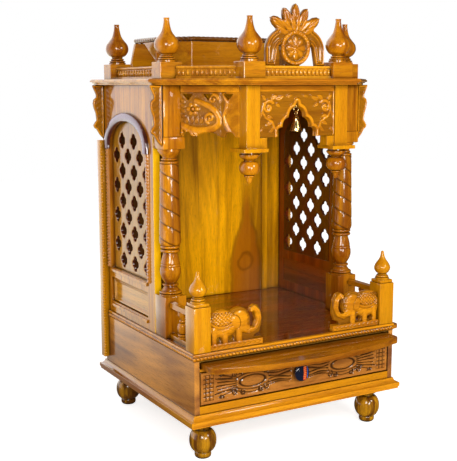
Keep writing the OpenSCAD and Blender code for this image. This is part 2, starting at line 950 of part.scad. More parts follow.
// Outline of a canted panel: a carved board with a shaped lower edge, and
// gaps pierced under its top rail
module canted_outline(length) {
    middle = length / 2;
    difference() {
        square([length, frieze_h]);
        translate([middle, -pierce_r]) circle(pierce_r * 1.35, $fn = 32);
        for (x = [-1, 1]) translate([middle + x * pierce_r * 1.6, 0]) circle(pierce_r * 0.36, $fn = 24);
        for (x = [-1.5, 0, 1.5]) translate([middle + x * pierce_r, frieze_h - frieze_rail])
            polygon([[-pierce_r * 0.35, 0], [pierce_r * 0.35, 0], [0, -pierce_r * 0.42]]);
    }
}

// Panel of the canted bay, between a column and a bay post
module canted_panel(side) {
    span = [column_x - bay_half, column_y - bay_y];
    color("darkgoldenrod") placed() on_side(side) translate([0, 0, z_frieze]) difference() {
        intersection() {
            translate([bay_half, bay_y, 0]) rotate(atan2(span[1], span[0])) rotate([90, 0, 0])
                translate([0, 0, -frieze_t / 2]) linear_extrude(frieze_t) canted_outline(norm(span));
            translate([bay_half, bay_y, -1]) cube([span[0], span[1], frieze_h + 2]);
        }
        translate([column_x, column_y, frieze_h / 2])
            cube([column_w - 2 * block_step, column_w - 2 * block_step, frieze_h + 4], center = true);
        translate([bay_half, bay_y, frieze_h / 2])
            cube([bay_post_w, bay_post_w, frieze_h + 4], center = true);
    }
}

module canted_panel_left() {
    canted_panel(-1);
}

module canted_panel_right() {
    canted_panel(1);
}

// Cusped arch, as right-hand points from the apex down, and mirrored
function cusp_points() =
    let (apex = frieze_h - arch_apex)
    [[0, apex], [7, apex - 12], [17, apex - 20], [22, apex - 34], [34, apex - 42],
        [38, apex - 56], [arch_half, apex - 62], [arch_half, -1]];

module cusped_arch() {
    right = cusp_points();
    polygon(concat(right, [for (i = [len(right) - 1 : -1 : 1]) [-right[i][0], right[i][1]]]));
}

// Front panel of the centre bay
module arch_panel() {
    half = bay_half - bay_post_w / 2;
    color("darkgoldenrod") placed() difference() {
        translate([0, bell_y + frieze_t / 2, z_frieze]) rotate([90, 0, 0]) linear_extrude(frieze_t)
            difference() {
                translate([-half, 0]) square([2 * half, frieze_h]);
                cusped_arch();
            }
        translate([0, bell_y, z_pivot + 2 * hook_r]) cylinder(h = hook_screw, d = ring_wire + 0.2);
    }
}

// Places of the roof finials
finials = [for (x = [-1, 1], p = [[canopy_half, finial_back], [canopy_half, side_y], [bay_half, bay_y]])
    [x * p[0], p[1]]];

module gallery_blocks() {
    color("goldenrod") placed() for (p = finials)
        translate([p[0], p[1], z_roof + block_h / 2]) cube([block_w, block_d, block_h], center = true);
}

// Low rails between the blocks, with a fillet at the foot and a bead on top
module gallery_rails() {
    bands = [[gallery_t / 2 + 3, 0, 0.2], [gallery_t / 2, 0.2, 0.8], [gallery_t / 2 + 2, 0.8, 1]];
    color("peru") placed() difference() {
        for (b = bands) translate([0, 0, z_roof + b[1] * gallery_h])
            linear_extrude((b[2] - b[1]) * gallery_h) difference() {
                polygon(canopy_plan(b[0]));
                polygon(canopy_plan(-b[0]));
                translate([-canopy_half * 2, finial_back]) square([canopy_half * 4, base_d]);
            }
        for (p = finials)
            translate([p[0], p[1], z_roof]) cube([block_w, block_d, 3 * block_h], center = true);
    }
}

module roof_finials() {
    h = finial_h;
    r = finial_d / 2;
    color("goldenrod") placed() for (p = finials) translate([p[0], p[1], z_block]) turned(concat(
        [[21, 0], [21, h * 0.05]], bead(h * 0.05, h * 0.1, 17, 3, 4),
        eased(h * 0.1, h * 0.16, 15, 18, 3), bead(h * 0.16, h * 0.62, 14, r - 14, 10),
        eased(h * 0.62, h * 0.97, 14, 6.5, 6), [[5, h]]
    ));
}

// Plan of the crown box, grown by a little
module crown_plan(grow) {
    h = crown_half + grow;
    f = crown_front_half + grow * 0.5;
    polygon([[-h, crown_back + grow], [-h, crown_corner], [-f, crown_front - grow],
        [f, crown_front - grow], [h, crown_corner], [h, crown_back + grow]]);
}

// Box on the roof: a board at the back, a front board, two canted boards
// and two raking gussets at the sides
module crown_box() {
    top = z_roof + crown_h;
    back = crown_back - crown_t;
    color("orange") placed() difference() {
        union() {
            translate([0, 0, z_roof]) linear_extrude(crown_h) difference() {
                crown_plan(0);
                offset(delta = -crown_t) crown_plan(0);
            }
            translate([0, crown_back, z_roof]) rotate([90, 0, 0]) linear_extrude(crown_t)
                polygon([[-crown_half - crown_wing, 0], [crown_half + crown_wing, 0],
                    [crown_half, crown_h], [-crown_half, crown_h]]);
        }
        along_x(-crown_half - 30, 2 * crown_half + 60)
            polygon([[crown_corner, z_roof - 1], [back, z_roof - 1], [back, top + 1],
                [crown_corner + gusset_run, top + 1], [crown_corner + gusset_run, top],
                [crown_corner, top - gusset_h]]);
    }
}

module crown_rim() {
    color("sienna") placed() translate([0, 0, z_roof + crown_h]) linear_extrude(rim_h) difference() {
        crown_plan(4);
        offset(delta = -crown_t) crown_plan(0);
    }
}

// Opening between the medallion and the right leg of the crest
module crest_gap() {
    polygon(concat(
        [[crest_half - 24, -1], [crest_half - 24, 0]],
        [for (a = [0 : 15 : 30]) [(crest_half - 30) * cos(a), shoulder + 24 * sin(a)]],
        [for (a = [85 : 15 : 160]) medallion_r * [sin(a), 1 + cos(a)]], [[10, -1]]
    ));
}

// Point on the edge of the crest's leaves, at an angle from the middle
function leaf_point(angle, reach) = [reach * sin(angle), leaf_foot + reach * cos(angle)];

// Crest: a medallion between two curved legs, under five pointed leaves,
// each given as its angle and length
module crest_outline() {
    leaves = [[56, 77], [26, 71], [0, crest_h - leaf_foot]];
    edge = [[9, 0.84], [0, 1], [-9, 0.84], [-14, 0.66]];
    leg = [for (a = [0 : 15 : 60]) [22 + (crest_half - 22) * cos(a), shoulder + 50 * sin(a)]];
    top = [for (leaf = leaves, e = edge) if (leaf[0] + e[0] >= 0) leaf_point(leaf[0] + e[0], leaf[1] * e[1])];
    right = concat([[crest_half, 0]], leg, top);
    difference() {
        polygon(concat(right, [for (i = [len(right) - 2 : -1 : 0]) [-right[i][0], right[i][1]]]));
        crest_gap();
        mirror([1, 0]) crest_gap();
    }
}

module crest() {
    color("orange") placed()
        translate([0, bay_y - gallery_t / 2 + 2 + crest_t, z_gallery]) rotate([90, 0, 0])
            linear_extrude(crest_t) crest_outline();
}

// Bell

// Ring of round wire about X, centred on the origin
module wire_ring(r) {
    rotate([0, 90, 0]) rotate_extrude() translate([r, 0]) circle(ring_wire / 2, $fn = 16);
}

// Screw eye that holds the bell's loop
module bell_hook() {
    color("gold") placed() translate([0, bell_y, z_pivot + hook_r]) union() {
        rotate(90) wire_ring(hook_r);
        translate([0, 0, hook_r]) cylinder(h = hook_screw - 2, d = ring_wire);
    }
}

module bell() {
    r = bell_d / 2;
    w = bell_wall;
    drop = 2 * loop_r - ring_wire - slide_gap;
    outside = concat([[r, 0], [r, 1.5]], eased(1.5, bell_h * 0.8, r * 0.92, r * 0.5, 5), [[3, bell_h]]);
    color("gold") placed() translate([0, bell_y, z_pivot]) {
        translate([0, 0, ring_wire + slide_gap - loop_r]) wire_ring(loop_r);
        translate([0, 0, -drop - bell_h]) difference() {
            turned(outside);
            turned(concat([[r - w, -1], [r - w, 1.5]],
                eased(1.6, bell_h * 0.75, r * 0.92 - w, r * 0.5 - w, 5)));
        }
    }
}

feet();
moulding_front();
moulding_back();
moulding_left();
moulding_right();
base_bottom();
base_side_left();
base_side_right();
base_back();
front_rail();
divider();
shelf();
deck();
rope_band_front();
rope_band_left();
drawer_runners();
tray_runners();
drawer_front();
drawer_sides();
drawer_back();
drawer_floor();
knob();
front_tray();
side_tray();
corner_post_left();
corner_post_right();
bracket_left();
bracket_right();
railings();
balusters();
column_left();
column_right();
shaft_left();
shaft_right();
wall_frame_left();
wall_frame_right();
lattice_left();
lattice_right();
arch_mouldings();
wall_panels();
rear_posts();
back_wall();
eave_brackets();
canted_panel_left();
canted_panel_right();
arch_panel();
bay_post_left();
bay_post_right();
pendants();
cornice();
gallery_rails();
gallery_blocks();
roof_finials();
crown_box();
crown_rim();
crest();
bell_hook();
bell();
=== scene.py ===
# %% [markdown]
# A home temple cabinet, dressed. The real one is teak or sheesham: boards that are planed and
# joined, posts and finials turned on a lathe, panels carved with a gouge, and a thick glossy
# amber varnish over all of it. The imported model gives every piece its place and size. This file
# gives each piece the shape of its surface and its finish.

# %% Load the fixed frame
import math

import bmesh
import bpy
import numpy as np
from mathutils import Matrix, Vector


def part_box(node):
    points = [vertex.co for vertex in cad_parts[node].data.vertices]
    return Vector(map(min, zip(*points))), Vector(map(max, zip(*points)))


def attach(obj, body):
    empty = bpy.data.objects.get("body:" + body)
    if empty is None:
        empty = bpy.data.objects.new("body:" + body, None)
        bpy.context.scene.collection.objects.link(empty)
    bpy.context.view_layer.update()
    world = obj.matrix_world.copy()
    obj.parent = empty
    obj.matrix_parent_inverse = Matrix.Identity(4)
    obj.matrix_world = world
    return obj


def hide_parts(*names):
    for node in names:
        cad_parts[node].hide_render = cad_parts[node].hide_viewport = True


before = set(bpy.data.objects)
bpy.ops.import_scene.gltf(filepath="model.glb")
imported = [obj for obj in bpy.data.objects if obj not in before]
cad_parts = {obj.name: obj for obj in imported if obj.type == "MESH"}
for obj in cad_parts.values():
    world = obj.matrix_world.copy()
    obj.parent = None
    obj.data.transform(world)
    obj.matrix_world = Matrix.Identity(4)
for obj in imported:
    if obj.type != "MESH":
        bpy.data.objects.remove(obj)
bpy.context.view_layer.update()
print(len(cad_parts), "nodes in the frame")

# %% [markdown]
# The camera stands where the photographer stood: left of the front, level with the cornice,
# and tipped down by nine degrees. A long lens keeps the upright edges almost parallel. The
# values were solved from the cabinet's straight edges, so they are set as plain numbers.

# %% Camera
MM = 0.001


def new_object(name, data):
    """A new object in the scene."""
    made = bpy.data.objects.new(name, data)
    bpy.context.scene.collection.objects.link(made)
    return made


camera_data = bpy.data.cameras.new("camera")
camera_data.lens = 72.52
camera_data.sensor_width = 36
camera = new_object("camera", camera_data)
camera.location = (-1.1756, -1.9373, 0.8321)
camera.rotation_euler = [math.radians(a) for a in (90 - 8.909, 0.08, -29.768)]
bpy.context.scene.camera = camera
bpy.context.scene.view_settings.view_transform = "Standard"
print("camera", tuple(camera.location))

# %% [markdown]
# Wood shows three scales at once. Wide streaks and rings come from the way that the log was
# sawn, fine fibres run along the board, and short dark pores sit between them. A node group
# makes these as masks, so that every wood in the cabinet shares them and sets its own colours.
# The masks are stretched noise: a noise that is squeezed across the grain and long along it.

# %% Helpers for node trees
def node(tree, kind, inputs=None, **settings):
    """A new node with its settings, and with its inputs linked or set."""
    made = tree.nodes.new(kind)
    for key, value in settings.items():
        setattr(made, key, value)
    for key, value in (inputs or {}).items():
        if isinstance(value, bpy.types.NodeSocket):
            tree.links.new(value, made.inputs[key])
        else:
            made.inputs[key].default_value = value
    return made


def calc(tree, operation, a, b=0.0, c=0.0):
    """One Math node, and its result."""
    return node(tree, "ShaderNodeMath", {0: a, 1: b, 2: c}, operation=operation).outputs[0]


def ramp(tree, value, low, high, to_low=0.0, to_high=1.0):
    """A value moved smoothly from one range to another."""
    inputs = {"Value": value, 1: low, 2: high, 3: to_low, 4: to_high}
    return node(tree, "ShaderNodeMapRange", inputs, interpolation_type="SMOOTHSTEP").outputs[0]


def blend(tree, factor, a, b, how="MIX"):
    """Two colours mixed by a factor."""
    made = node(tree, "ShaderNodeMix", {0: factor, 6: a, 7: b}, data_type="RGBA", blend_type=how)
    return made.outputs[2]


print("node helpers ready")

# %% Helpers for materials and groups
def new_material(name):
    """A new material, its node tree and its shader."""
    made = bpy.data.materials.new(name)
    made.use_nodes = True
    return made, made.node_tree, made.node_tree.nodes["Principled BSDF"]


def recolour(material, factor, colour, how="MIX"):
    """Blends a colour into the base colour that a material has so far."""
    tree = material.node_tree
    base = tree.nodes["Principled BSDF"].inputs["Base Color"]
    tree.links.new(blend(tree, factor, base.links[0].from_socket, (*colour, 1), how), base)


def object_place(tree):
    """The point's own X, Y and Z on the object."""
    where = node(tree, "ShaderNodeTexCoord").outputs["Object"]
    return node(tree, "ShaderNodeSeparateXYZ", {0: where}).outputs


def stretched(tree, vector, along, across, **inputs):
    """Noise that is drawn out along X."""
    wide = node(tree, "ShaderNodeVectorMath", {0: vector, 1: (along, across, across)}, operation="MULTIPLY")
    noise = node(tree, "ShaderNodeTexNoise", {"Vector": wide.outputs[0], "Scale": 1.0, **inputs})
    return noise.outputs["Fac"]


def new_group(name, inputs, outputs):
    """An empty shader group with its sockets; the grain's and the painted corner shade's own nodes go in it."""
    group = bpy.data.node_groups.new(name, "ShaderNodeTree")
    for label, kind in inputs:
        group.interface.new_socket(label, in_out="INPUT", socket_type=kind)
    for label, kind in outputs:
        group.interface.new_socket(label, in_out="OUTPUT", socket_type=kind)
    return group, node(group, "NodeGroupInput"), node(group, "NodeGroupOutput")


print("material helpers ready")

# %% Plank grain group
VALUE, VECTOR = "NodeSocketFloat", "NodeSocketVector"
grain, ins, outs = new_group(
    "plank_grain", [("Vector", VECTOR)],
    [("Streak", VALUE), ("Ring", VALUE), ("Cloud", VALUE), ("Fibre", VALUE), ("Pore", VALUE), ("Height", VALUE)])
place = ins.outputs["Vector"]
streak = stretched(grain, place, 1.6, 34, Detail=5.0, Roughness=0.62, Distortion=0.5)
hill = stretched(grain, place, 1.1, 6.5, Detail=1.0, Roughness=0.4, Distortion=0.3)
ring = calc(grain, "MULTIPLY_ADD", calc(grain, "SINE", calc(grain, "MULTIPLY", hill, 95.0)), 0.5, 0.5)
cloud = stretched(grain, place, 2.4, 5.0, Detail=2.0, Roughness=0.5)
fibre = stretched(grain, place, 28, 760, Detail=2.0, Roughness=0.55)
pore = ramp(grain, stretched(grain, place, 75, 1500, Detail=1.0), 0.60, 0.72)
height = calc(grain, "SUBTRACT", calc(grain, "MULTIPLY", fibre, 0.5), calc(grain, "MULTIPLY", pore, 0.6))
for label, value in (("Streak", streak), ("Ring", ring), ("Cloud", cloud), ("Fibre", fibre), ("Pore", pore),
                     ("Height", height)):
    grain.links.new(value, outs.inputs[label])
print("plank_grain has", len(grain.nodes), "nodes")

# %% [markdown]
# Corners get painted shade, with some pooled varnish, and edges get a painted highlight, where the
# varnish is also rubbed thin. A second group finds both from the shape itself: ambient occlusion
# looks outward for corners and inward for edges, so the marks follow the piece from whatever side
# it is seen.

# %% Corner and edge group
corners, ins, outs = new_group("corner_shade_dirt_edge_sheen_wear", [("Reach", VALUE)], [("Corner", VALUE), ("Edge", VALUE)])
reach = ins.outputs["Reach"]
open_sky = node(corners, "ShaderNodeAmbientOcclusion", {"Distance": reach}, samples=8)
thin = node(corners, "ShaderNodeAmbientOcclusion", {"Distance": calc(corners, "MULTIPLY", reach, 0.25)},
            samples=4, inside=True)
# Corner is the painted shade (with some dirt), and Edge is the painted highlight (with thin varnish).
corners.links.new(ramp(corners, open_sky.outputs["AO"], 0.25, 0.95, 1.0, 0.0), outs.inputs["Corner"])
corners.links.new(ramp(corners, thin.outputs["AO"], 0.45, 0.8, 1.0, 0.0), outs.inputs["Edge"])
print("corner group has", len(corners.nodes), "nodes")

# %% [markdown]
# Every varnished wood is one recipe with other values: the way its grain runs, its light and
# dark colour, and how strongly the streaks show. The grain is turned by a Mapping node on
# object coordinates. A carved piece also reads its own depth, which the carving wrote on it,
# and is darker in what the gouge took away: painted shade in the hollows, with the stain that
# gathers there.

# %% Wood recipe
CORNER_SHADE_REACH = 0.014
GRAIN_TURN = {"X": (0, 0, 0), "Y": (0, 0, math.radians(-90)), "Z": (0, math.radians(90), 0)}


def wood(name, grain_along, light, dark, shift=(0, 0, 0), streaks=0.7, rings=0.35, clouds=0.3, rough=0.3,
         carved=0.0, corner_shade_and_dirt=0.92):
    """A varnished wood. light and dark are its colours, carved the painted shade and stain in carved depths."""
    made, tree, shader = new_material(name)
    where = node(tree, "ShaderNodeTexCoord").outputs["Object"]
    turned_to = node(tree, "ShaderNodeMapping", {"Vector": where, "Rotation": GRAIN_TURN[grain_along],
                                                 "Location": shift}).outputs[0]
    marks = node(tree, "ShaderNodeGroup", {}, node_tree=grain)
    tree.links.new(turned_to, marks.inputs["Vector"])
    mark = marks.outputs
    corner_and_edge = node(tree, "ShaderNodeGroup", {}, node_tree=corners)
    corner_and_edge.inputs["Reach"].default_value = CORNER_SHADE_REACH
    figure = calc(tree, "MULTIPLY", ramp(tree, mark["Streak"], 0.36, 0.68), streaks)
    figure = calc(tree, "MULTIPLY_ADD", calc(tree, "MULTIPLY", mark["Ring"], mark["Cloud"]), rings, figure)
    figure = calc(tree, "MULTIPLY_ADD", ramp(tree, mark["Cloud"], 0.42, 0.7), clouds, figure)
    colour = blend(tree, calc(tree, "MINIMUM", figure, 1.0), (*light, 1), (*dark, 1))
    threads = ramp(tree, mark["Fibre"], 0.3, 0.7, 0.86, 1.08)
    colour = blend(tree, 1.0, colour, node(tree, "ShaderNodeCombineColor", {0: threads, 1: threads, 2: threads})
                   .outputs[0], "MULTIPLY")
    # A dark colour: the stain in the pores, and the painted shade in corners and carved hollows.
    stain_and_shade = tuple(0.22 * c for c in dark)
    colour = blend(tree, calc(tree, "MULTIPLY", mark["Pore"], 0.45), colour, (*stain_and_shade, 1))
    # Painted shade in corners, with some dirt.
    colour = blend(tree, calc(tree, "MULTIPLY", corner_and_edge.outputs["Corner"], corner_shade_and_dirt), colour, (*stain_and_shade, 1))
    # Painted shade in the carved hollows, with the stain gathered there.
    if carved:
        depth = node(tree, "ShaderNodeAttribute", attribute_name="depth").outputs["Fac"]
        colour = blend(tree, calc(tree, "MULTIPLY", ramp(tree, depth, 0.75, 0.1), carved), colour, (*stain_and_shade, 1))
    # Painted highlight on edges, where the varnish is also thin.
    pale = tuple(min(1.0, 1.2 * c + 0.01) for c in light)
    colour = blend(tree, calc(tree, "MULTIPLY", corner_and_edge.outputs["Edge"], 0.2), colour, (*pale, 1))
    tree.links.new(colour, shader.inputs["Base Color"])
    roughness = ramp(tree, mark["Fibre"], 0.2, 0.8, rough - 0.05, rough + 0.08)
    tree.links.new(roughness, shader.inputs["Roughness"])
    ripple = node(tree, "ShaderNodeTexNoise", {"Vector": where, "Scale": 70.0, "Detail": 1.0}).outputs["Fac"]
    relief_height = calc(tree, "MULTIPLY_ADD", ripple, 0.5, mark["Height"])
    bump = node(tree, "ShaderNodeBump", {"Strength": 0.35, "Distance": 0.0004, "Height": relief_height})
    tree.links.new(bump.outputs[0], shader.inputs["Normal"])
    for label, value in (("Coat Weight", 0.9), ("Coat Roughness", 0.09), ("Coat IOR", 1.5),
                         ("Coat Tint", (1.0, 0.93, 0.32, 1)), ("Specular IOR Level", 0.12)):
        shader.inputs[label].default_value = value
    return made


print("wood recipe ready")

# %% Woods
post_wood = wood("post_wood", "Z", (0.64, 0.285, 0.006), (0.50, 0.19, 0.006), (0.3, 0.1, 0.7), streaks=0.8)
rail_wood = wood("rail_wood", "Y", (0.50, 0.19, 0.006), (0.42, 0.13, 0.006), (0.3, 0.3, 0.9))
board_wood = wood("board_wood", "X", (0.60, 0.25, 0.008), (0.34, 0.10, 0.005), (0.9, 0.4, 0.2), streaks=0.9)
tray_wood = wood("tray_wood", "X", (0.44, 0.16, 0.008), (0.20, 0.055, 0.004), (0.5, 0.9, 0.2), streaks=0.9)
side_wood = wood("side_wood", "Y", (0.72, 0.32, 0.07), (0.20, 0.07, 0.03), (1.7, 0.35, 0.1), streaks=0.3,
                 clouds=0.8, rings=0.3)
low_panel_wood = wood("low_panel_wood", "Y", (0.66, 0.30, 0.04), (0.26, 0.09, 0.015), (1.2, 0.8, 0.1), streaks=0.7)
frame_wood = wood("frame_wood", "Z", (0.70, 0.29, 0.012), (0.30, 0.085, 0.01), (0.2, 0.9, 0.4), streaks=0.9)
hood_wood = wood("hood_wood", "Z", (0.14, 0.03, 0.02), (0.06, 0.012, 0.01), (0.2, 0.9, 0.4), streaks=0.6)
turned_wood = wood("turned_wood", "Z", (0.62, 0.24, 0.008), (0.25, 0.065, 0.004), (0.5, 0.2, 0.1), streaks=0.9,
                   rings=0.5)
shaft_wood = wood("shaft_wood", "Z", (0.60, 0.23, 0.008), (0.22, 0.06, 0.004), (0.5, 0.2, 0.1), streaks=1.0,
                  rings=0.5, carved=0.7)
foot_wood = wood("foot_wood", "Z", (0.62, 0.30, 0.015), (0.12, 0.04, 0.008), (2.5, 1.2, 0.6), streaks=1.0,
                 rings=0.6)
moulding_wood = wood("moulding_wood", "X", (0.78, 0.33, 0.02), (0.36, 0.11, 0.01), (0.1, 0.8, 0.3), streaks=0.8)
gallery_wood = wood("gallery_wood", "X", (0.86, 0.40, 0.04), (0.46, 0.16, 0.02), (0.1, 0.8, 0.3), streaks=0.7,
                    corner_shade_and_dirt=0.7)
moulding_side_wood = wood("moulding_side_wood", "Y", (0.56, 0.25, 0.03), (0.26, 0.07, 0.008), (0.6, 0.1, 0.5),
                          streaks=0.8)
carved_wood = wood("carved_wood", "X", (0.74, 0.30, 0.01), (0.38, 0.12, 0.008), (1.1, 0.2, 0.8), carved=0.62,
                   streaks=0.8)
band_wood = wood("band_wood", "X", (0.74, 0.30, 0.012), (0.34, 0.10, 0.008), (0.4, 0.2, 0.6), carved=0.7)
rim_wood = wood("rim_wood", "X", (0.22, 0.07, 0.01), (0.09, 0.03, 0.006), (0.4, 0.9, 0.6), streaks=0.8)
drawer_wood = wood("drawer_wood", "X", (0.46, 0.18, 0.065), (0.24, 0.075, 0.03), (0.4, 1.3, 0.9), carved=1.0,
                   streaks=0.8)
deck_wood = wood("deck_wood", "X", (0.38, 0.06, 0.004), (0.10, 0.016, 0.002), (0.7, 0.7, 0.1), streaks=1.0,
                 rings=0.4, rough=0.22)
lattice_wood = wood("lattice_wood", "Z", (0.56, 0.26, 0.05), (0.26, 0.10, 0.02), (0.8, 0.3, 0.4), streaks=0.6)
inner_wood = wood("inner_wood", "X", (0.52, 0.30, 0.12), (0.34, 0.17, 0.06), (0.2, 0.5, 1.9), rough=0.5)
print(len(bpy.data.materials), "materials")

# %% [markdown]
# The back wall is one wide, quarter-figured panel: long upright streaks of yellow and brown, and
# a dark flame low down, right of the middle, where the saw met a knot. The flame is a mask that
# widens downward, bent by noise, laid over the same wood recipe, and the knot is a bent oval
# ring in it. The left end lies in the side wall's shade in the photo, so it is dark. All three
# are on the front face only.

# %% Back wall material
FLAME_X, FLAME_FOOT, FLAME_TOP, FLAME_HALF = 0.148, 0.35, 0.48, 0.046
BEND_X, BEND_Z = 0.03, 0.06
KNOT_Z, KNOT_PER_X, KNOT_PER_Z = 0.345, 42.0, 52.0
wall_wood = wood("wall_wood", "Z", (1.0, 0.47, 0.005), (0.34, 0.13, 0.003), (0.55, 0.15, 1.15), streaks=0.7,
                 rings=0.3, clouds=0.4)
tree = wall_wood.node_tree
where = node(tree, "ShaderNodeTexCoord").outputs["Object"]
bent = node(tree, "ShaderNodeTexNoise", {"Vector": where, "Scale": 9.0, "Detail": 3.0}).outputs["Color"]
bent = node(tree, "ShaderNodeVectorMath", {0: bent, 1: (BEND_X, 0.0, BEND_Z)}, operation="MULTIPLY").outputs[0]
moved = node(tree, "ShaderNodeVectorMath", {0: where, 1: bent}, operation="ADD").outputs[0]
spot = node(tree, "ShaderNodeSeparateXYZ", {0: moved}).outputs
from_axis = calc(tree, "SUBTRACT", spot[0], FLAME_X + BEND_X / 2)
height = calc(tree, "SUBTRACT", spot[2], BEND_Z / 2)
rise = ramp(tree, height, FLAME_FOOT, FLAME_TOP, 1.0, 0.28)
beyond = calc(tree, "SUBTRACT", calc(tree, "ABSOLUTE", from_axis), calc(tree, "MULTIPLY", rise, FLAME_HALF))
wall_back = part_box("back_wall")[1].y
front_side = ramp(tree, spot[1], wall_back - 0.004, wall_back - 0.003, 1.0, 0.0)
fade = calc(tree, "MULTIPLY", ramp(tree, height, FLAME_TOP, FLAME_TOP + 0.12, 0.8, 0.0), front_side)
flame = calc(tree, "MULTIPLY", ramp(tree, beyond, -0.01, 0.007, 1.0, 0.0), fade)
knot_u = calc(tree, "MULTIPLY", from_axis, KNOT_PER_X)
knot_v = calc(tree, "MULTIPLY_ADD", height, KNOT_PER_Z, -KNOT_PER_Z * KNOT_Z)
knot = calc(tree, "SQRT", calc(tree, "ADD", calc(tree, "POWER", knot_u, 2.0), calc(tree, "POWER", knot_v, 2.0)))
knot_ring = ramp(tree, calc(tree, "ABSOLUTE", calc(tree, "SUBTRACT", knot, 1.0)), 0.0, 0.35, 0.5, 0.0)
knot_ring = calc(tree, "MULTIPLY", knot_ring, front_side)
border = calc(tree, "MULTIPLY", ramp(tree, calc(tree, "ABSOLUTE", beyond), 0.0, 0.01, 0.6, 0.0), fade)
border = calc(tree, "MAXIMUM", border, knot_ring)
left_end = calc(tree, "MULTIPLY", ramp(tree, spot[0], -0.09, -0.035, 0.97, 0.0), front_side)
for mask, colour in ((flame, (0.36, 0.09, 0.006)), (border, (0.13, 0.035, 0.003)), (left_end, (0.05, 0.012, 0.003))):
    recolour(wall_wood, mask, colour)
print("flame from", FLAME_FOOT, "to", FLAME_TOP)

# %% [markdown]
# The shrine's side walls are darkened to a deep red-brown inside, as stain and as painted shade,
# and left amber outside, and the sawn walls of the lattice's holes are painted almost black as
# shade. All are masks on the piece's own place: whatever lies closer to the middle than a given
# plane is darkened. The front edge of the wall frames is painted bright as a highlight, and the
# window hoods are dark over paler legs.

# %% Stained and shaded insides
def stain_and_shade(material, low, high, tint, middle=0.0):
    """Multiplies a wood by a tint where its distance from the plane x = middle is below low to high."""
    tree = material.node_tree
    across = calc(tree, "ABSOLUTE", calc(tree, "SUBTRACT", object_place(tree)[0], middle))
    recolour(material, ramp(tree, across, low, high, 1.0, 0.0), tint, "MULTIPLY")


def coat(material, **values):
    """Changes the varnish of one wood."""
    for label, value in values.items():
        material.node_tree.nodes["Principled BSDF"].inputs["Coat " + label].default_value = value


RED_BROWN, NEAR_BLACK = (0.38, 0.13, 0.16), (0.17, 0.05, 0.06)
REVEAL, PANEL_BACK_IN, LEG_TOP_UNDER_CROWN = 0.0072, 0.0045, 0.092
lattice_low, lattice_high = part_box("lattice_right")
wall_inside, lattice_face = lattice_low.x, lattice_high.x
# Stain and painted shade: the wall frames' inner faces and the low panels' backs turn red-brown.
stain_and_shade(frame_wood, wall_inside + 0.0002 + REVEAL, wall_inside + 0.0012 + REVEAL, RED_BROWN, REVEAL)
panel_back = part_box("wall_panels")[1].x - PANEL_BACK_IN
stain_and_shade(low_panel_wood, panel_back - 0.001, panel_back, RED_BROWN)
# Painted shade: the lattice's hole walls and inner face go almost black, so the holes read dark.
stain_and_shade(lattice_wood, lattice_face - 0.0012, lattice_face - 0.0004, NEAR_BLACK)

tree = frame_wood.node_tree
frame_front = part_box("wall_frame_left")[0].y
# Painted highlight: the frame's front edge is blended to bright amber, as if lit.
front_highlight = ramp(tree, object_place(tree)[1], frame_front + 0.0006, frame_front + 0.0016, 0.85, 0.0)
recolour(frame_wood, front_highlight, (1.0, 0.58, 0.01))

tree = hood_wood.node_tree
leg_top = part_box("arch_mouldings")[1].z - LEG_TOP_UNDER_CROWN
recolour(hood_wood, ramp(tree, object_place(tree)[2], leg_top - 0.001, leg_top, 0.9, 0.0), (0.50, 0.18, 0.01))
coat(hood_wood, Tint=(1, 1, 1, 1), IOR=1.9)
coat(side_wood, Tint=(1.0, 0.93, 0.6, 1))
print("stained up to x =", round(wall_inside, 4))

# %% [markdown]
# Two small things aren't wood. The bell is polished brass, which is a metal with a warm colour
# and slight scratches. The knob is glazed stoneware: almost black blue, with one painted
# red panel and a thin blue line beside it, under a hard clear glaze.

# %% Brass and glaze
brass, tree, shader = new_material("brass")
scratch = stretched(tree, node(tree, "ShaderNodeTexCoord").outputs["Object"], 1200, 90, Detail=3.0)
colour = blend(tree, ramp(tree, scratch, 0.3, 0.7), (0.86, 0.62, 0.26, 1), (0.70, 0.46, 0.15, 1))
tree.links.new(colour, shader.inputs["Base Color"])
tree.links.new(ramp(tree, scratch, 0.3, 0.7, 0.14, 0.28), shader.inputs["Roughness"])
shader.inputs["Metallic"].default_value = 1.0

glaze, tree, shader = new_material("glaze")
knob_low, knob_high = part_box("knob")
knob_middle = (knob_low + knob_high) / 2
where = node(tree, "ShaderNodeTexCoord").outputs["Object"]
local = node(tree, "ShaderNodeVectorMath", {0: where, 1: knob_middle}, operation="SUBTRACT").outputs[0]
local = node(tree, "ShaderNodeSeparateXYZ", {0: local}).outputs
PANEL_LEFT, PANEL_RIGHT, PANEL_HALF_H, LINE_X, BARS, SOFT = 0.001, 0.009, 0.016, 0.0125, 1400.0, 0.0005
panel = calc(tree, "MULTIPLY", ramp(tree, local[0], PANEL_LEFT - SOFT, PANEL_LEFT + SOFT),
             ramp(tree, local[0], PANEL_RIGHT + SOFT, PANEL_RIGHT - SOFT))
in_height = ramp(tree, calc(tree, "ABSOLUTE", local[2]), PANEL_HALF_H + SOFT, PANEL_HALF_H - SOFT)
panel = calc(tree, "MULTIPLY", panel, in_height)
bars = calc(tree, "SINE", calc(tree, "MULTIPLY", local[2], BARS))
colour = blend(tree, ramp(tree, bars, 0.3, 0.5), (0.62, 0.05, 0.02, 1), (0.75, 0.22, 0.03, 1))
colour = blend(tree, panel, (0.006, 0.008, 0.022, 1), colour)
lines = ramp(tree, calc(tree, "ABSOLUTE", calc(tree, "SUBTRACT", local[0], LINE_X)), 0.0009, 0.0006)
colour = blend(tree, lines, colour, (0.10, 0.16, 0.55, 1))
tree.links.new(colour, shader.inputs["Base Color"])
shader.inputs["Roughness"].default_value = 0.12
shader.inputs["Coat Weight"].default_value = 1.0
shader.inputs["Coat Roughness"].default_value = 0.03
print("knob in the middle at", [round(v, 4) for v in knob_middle])

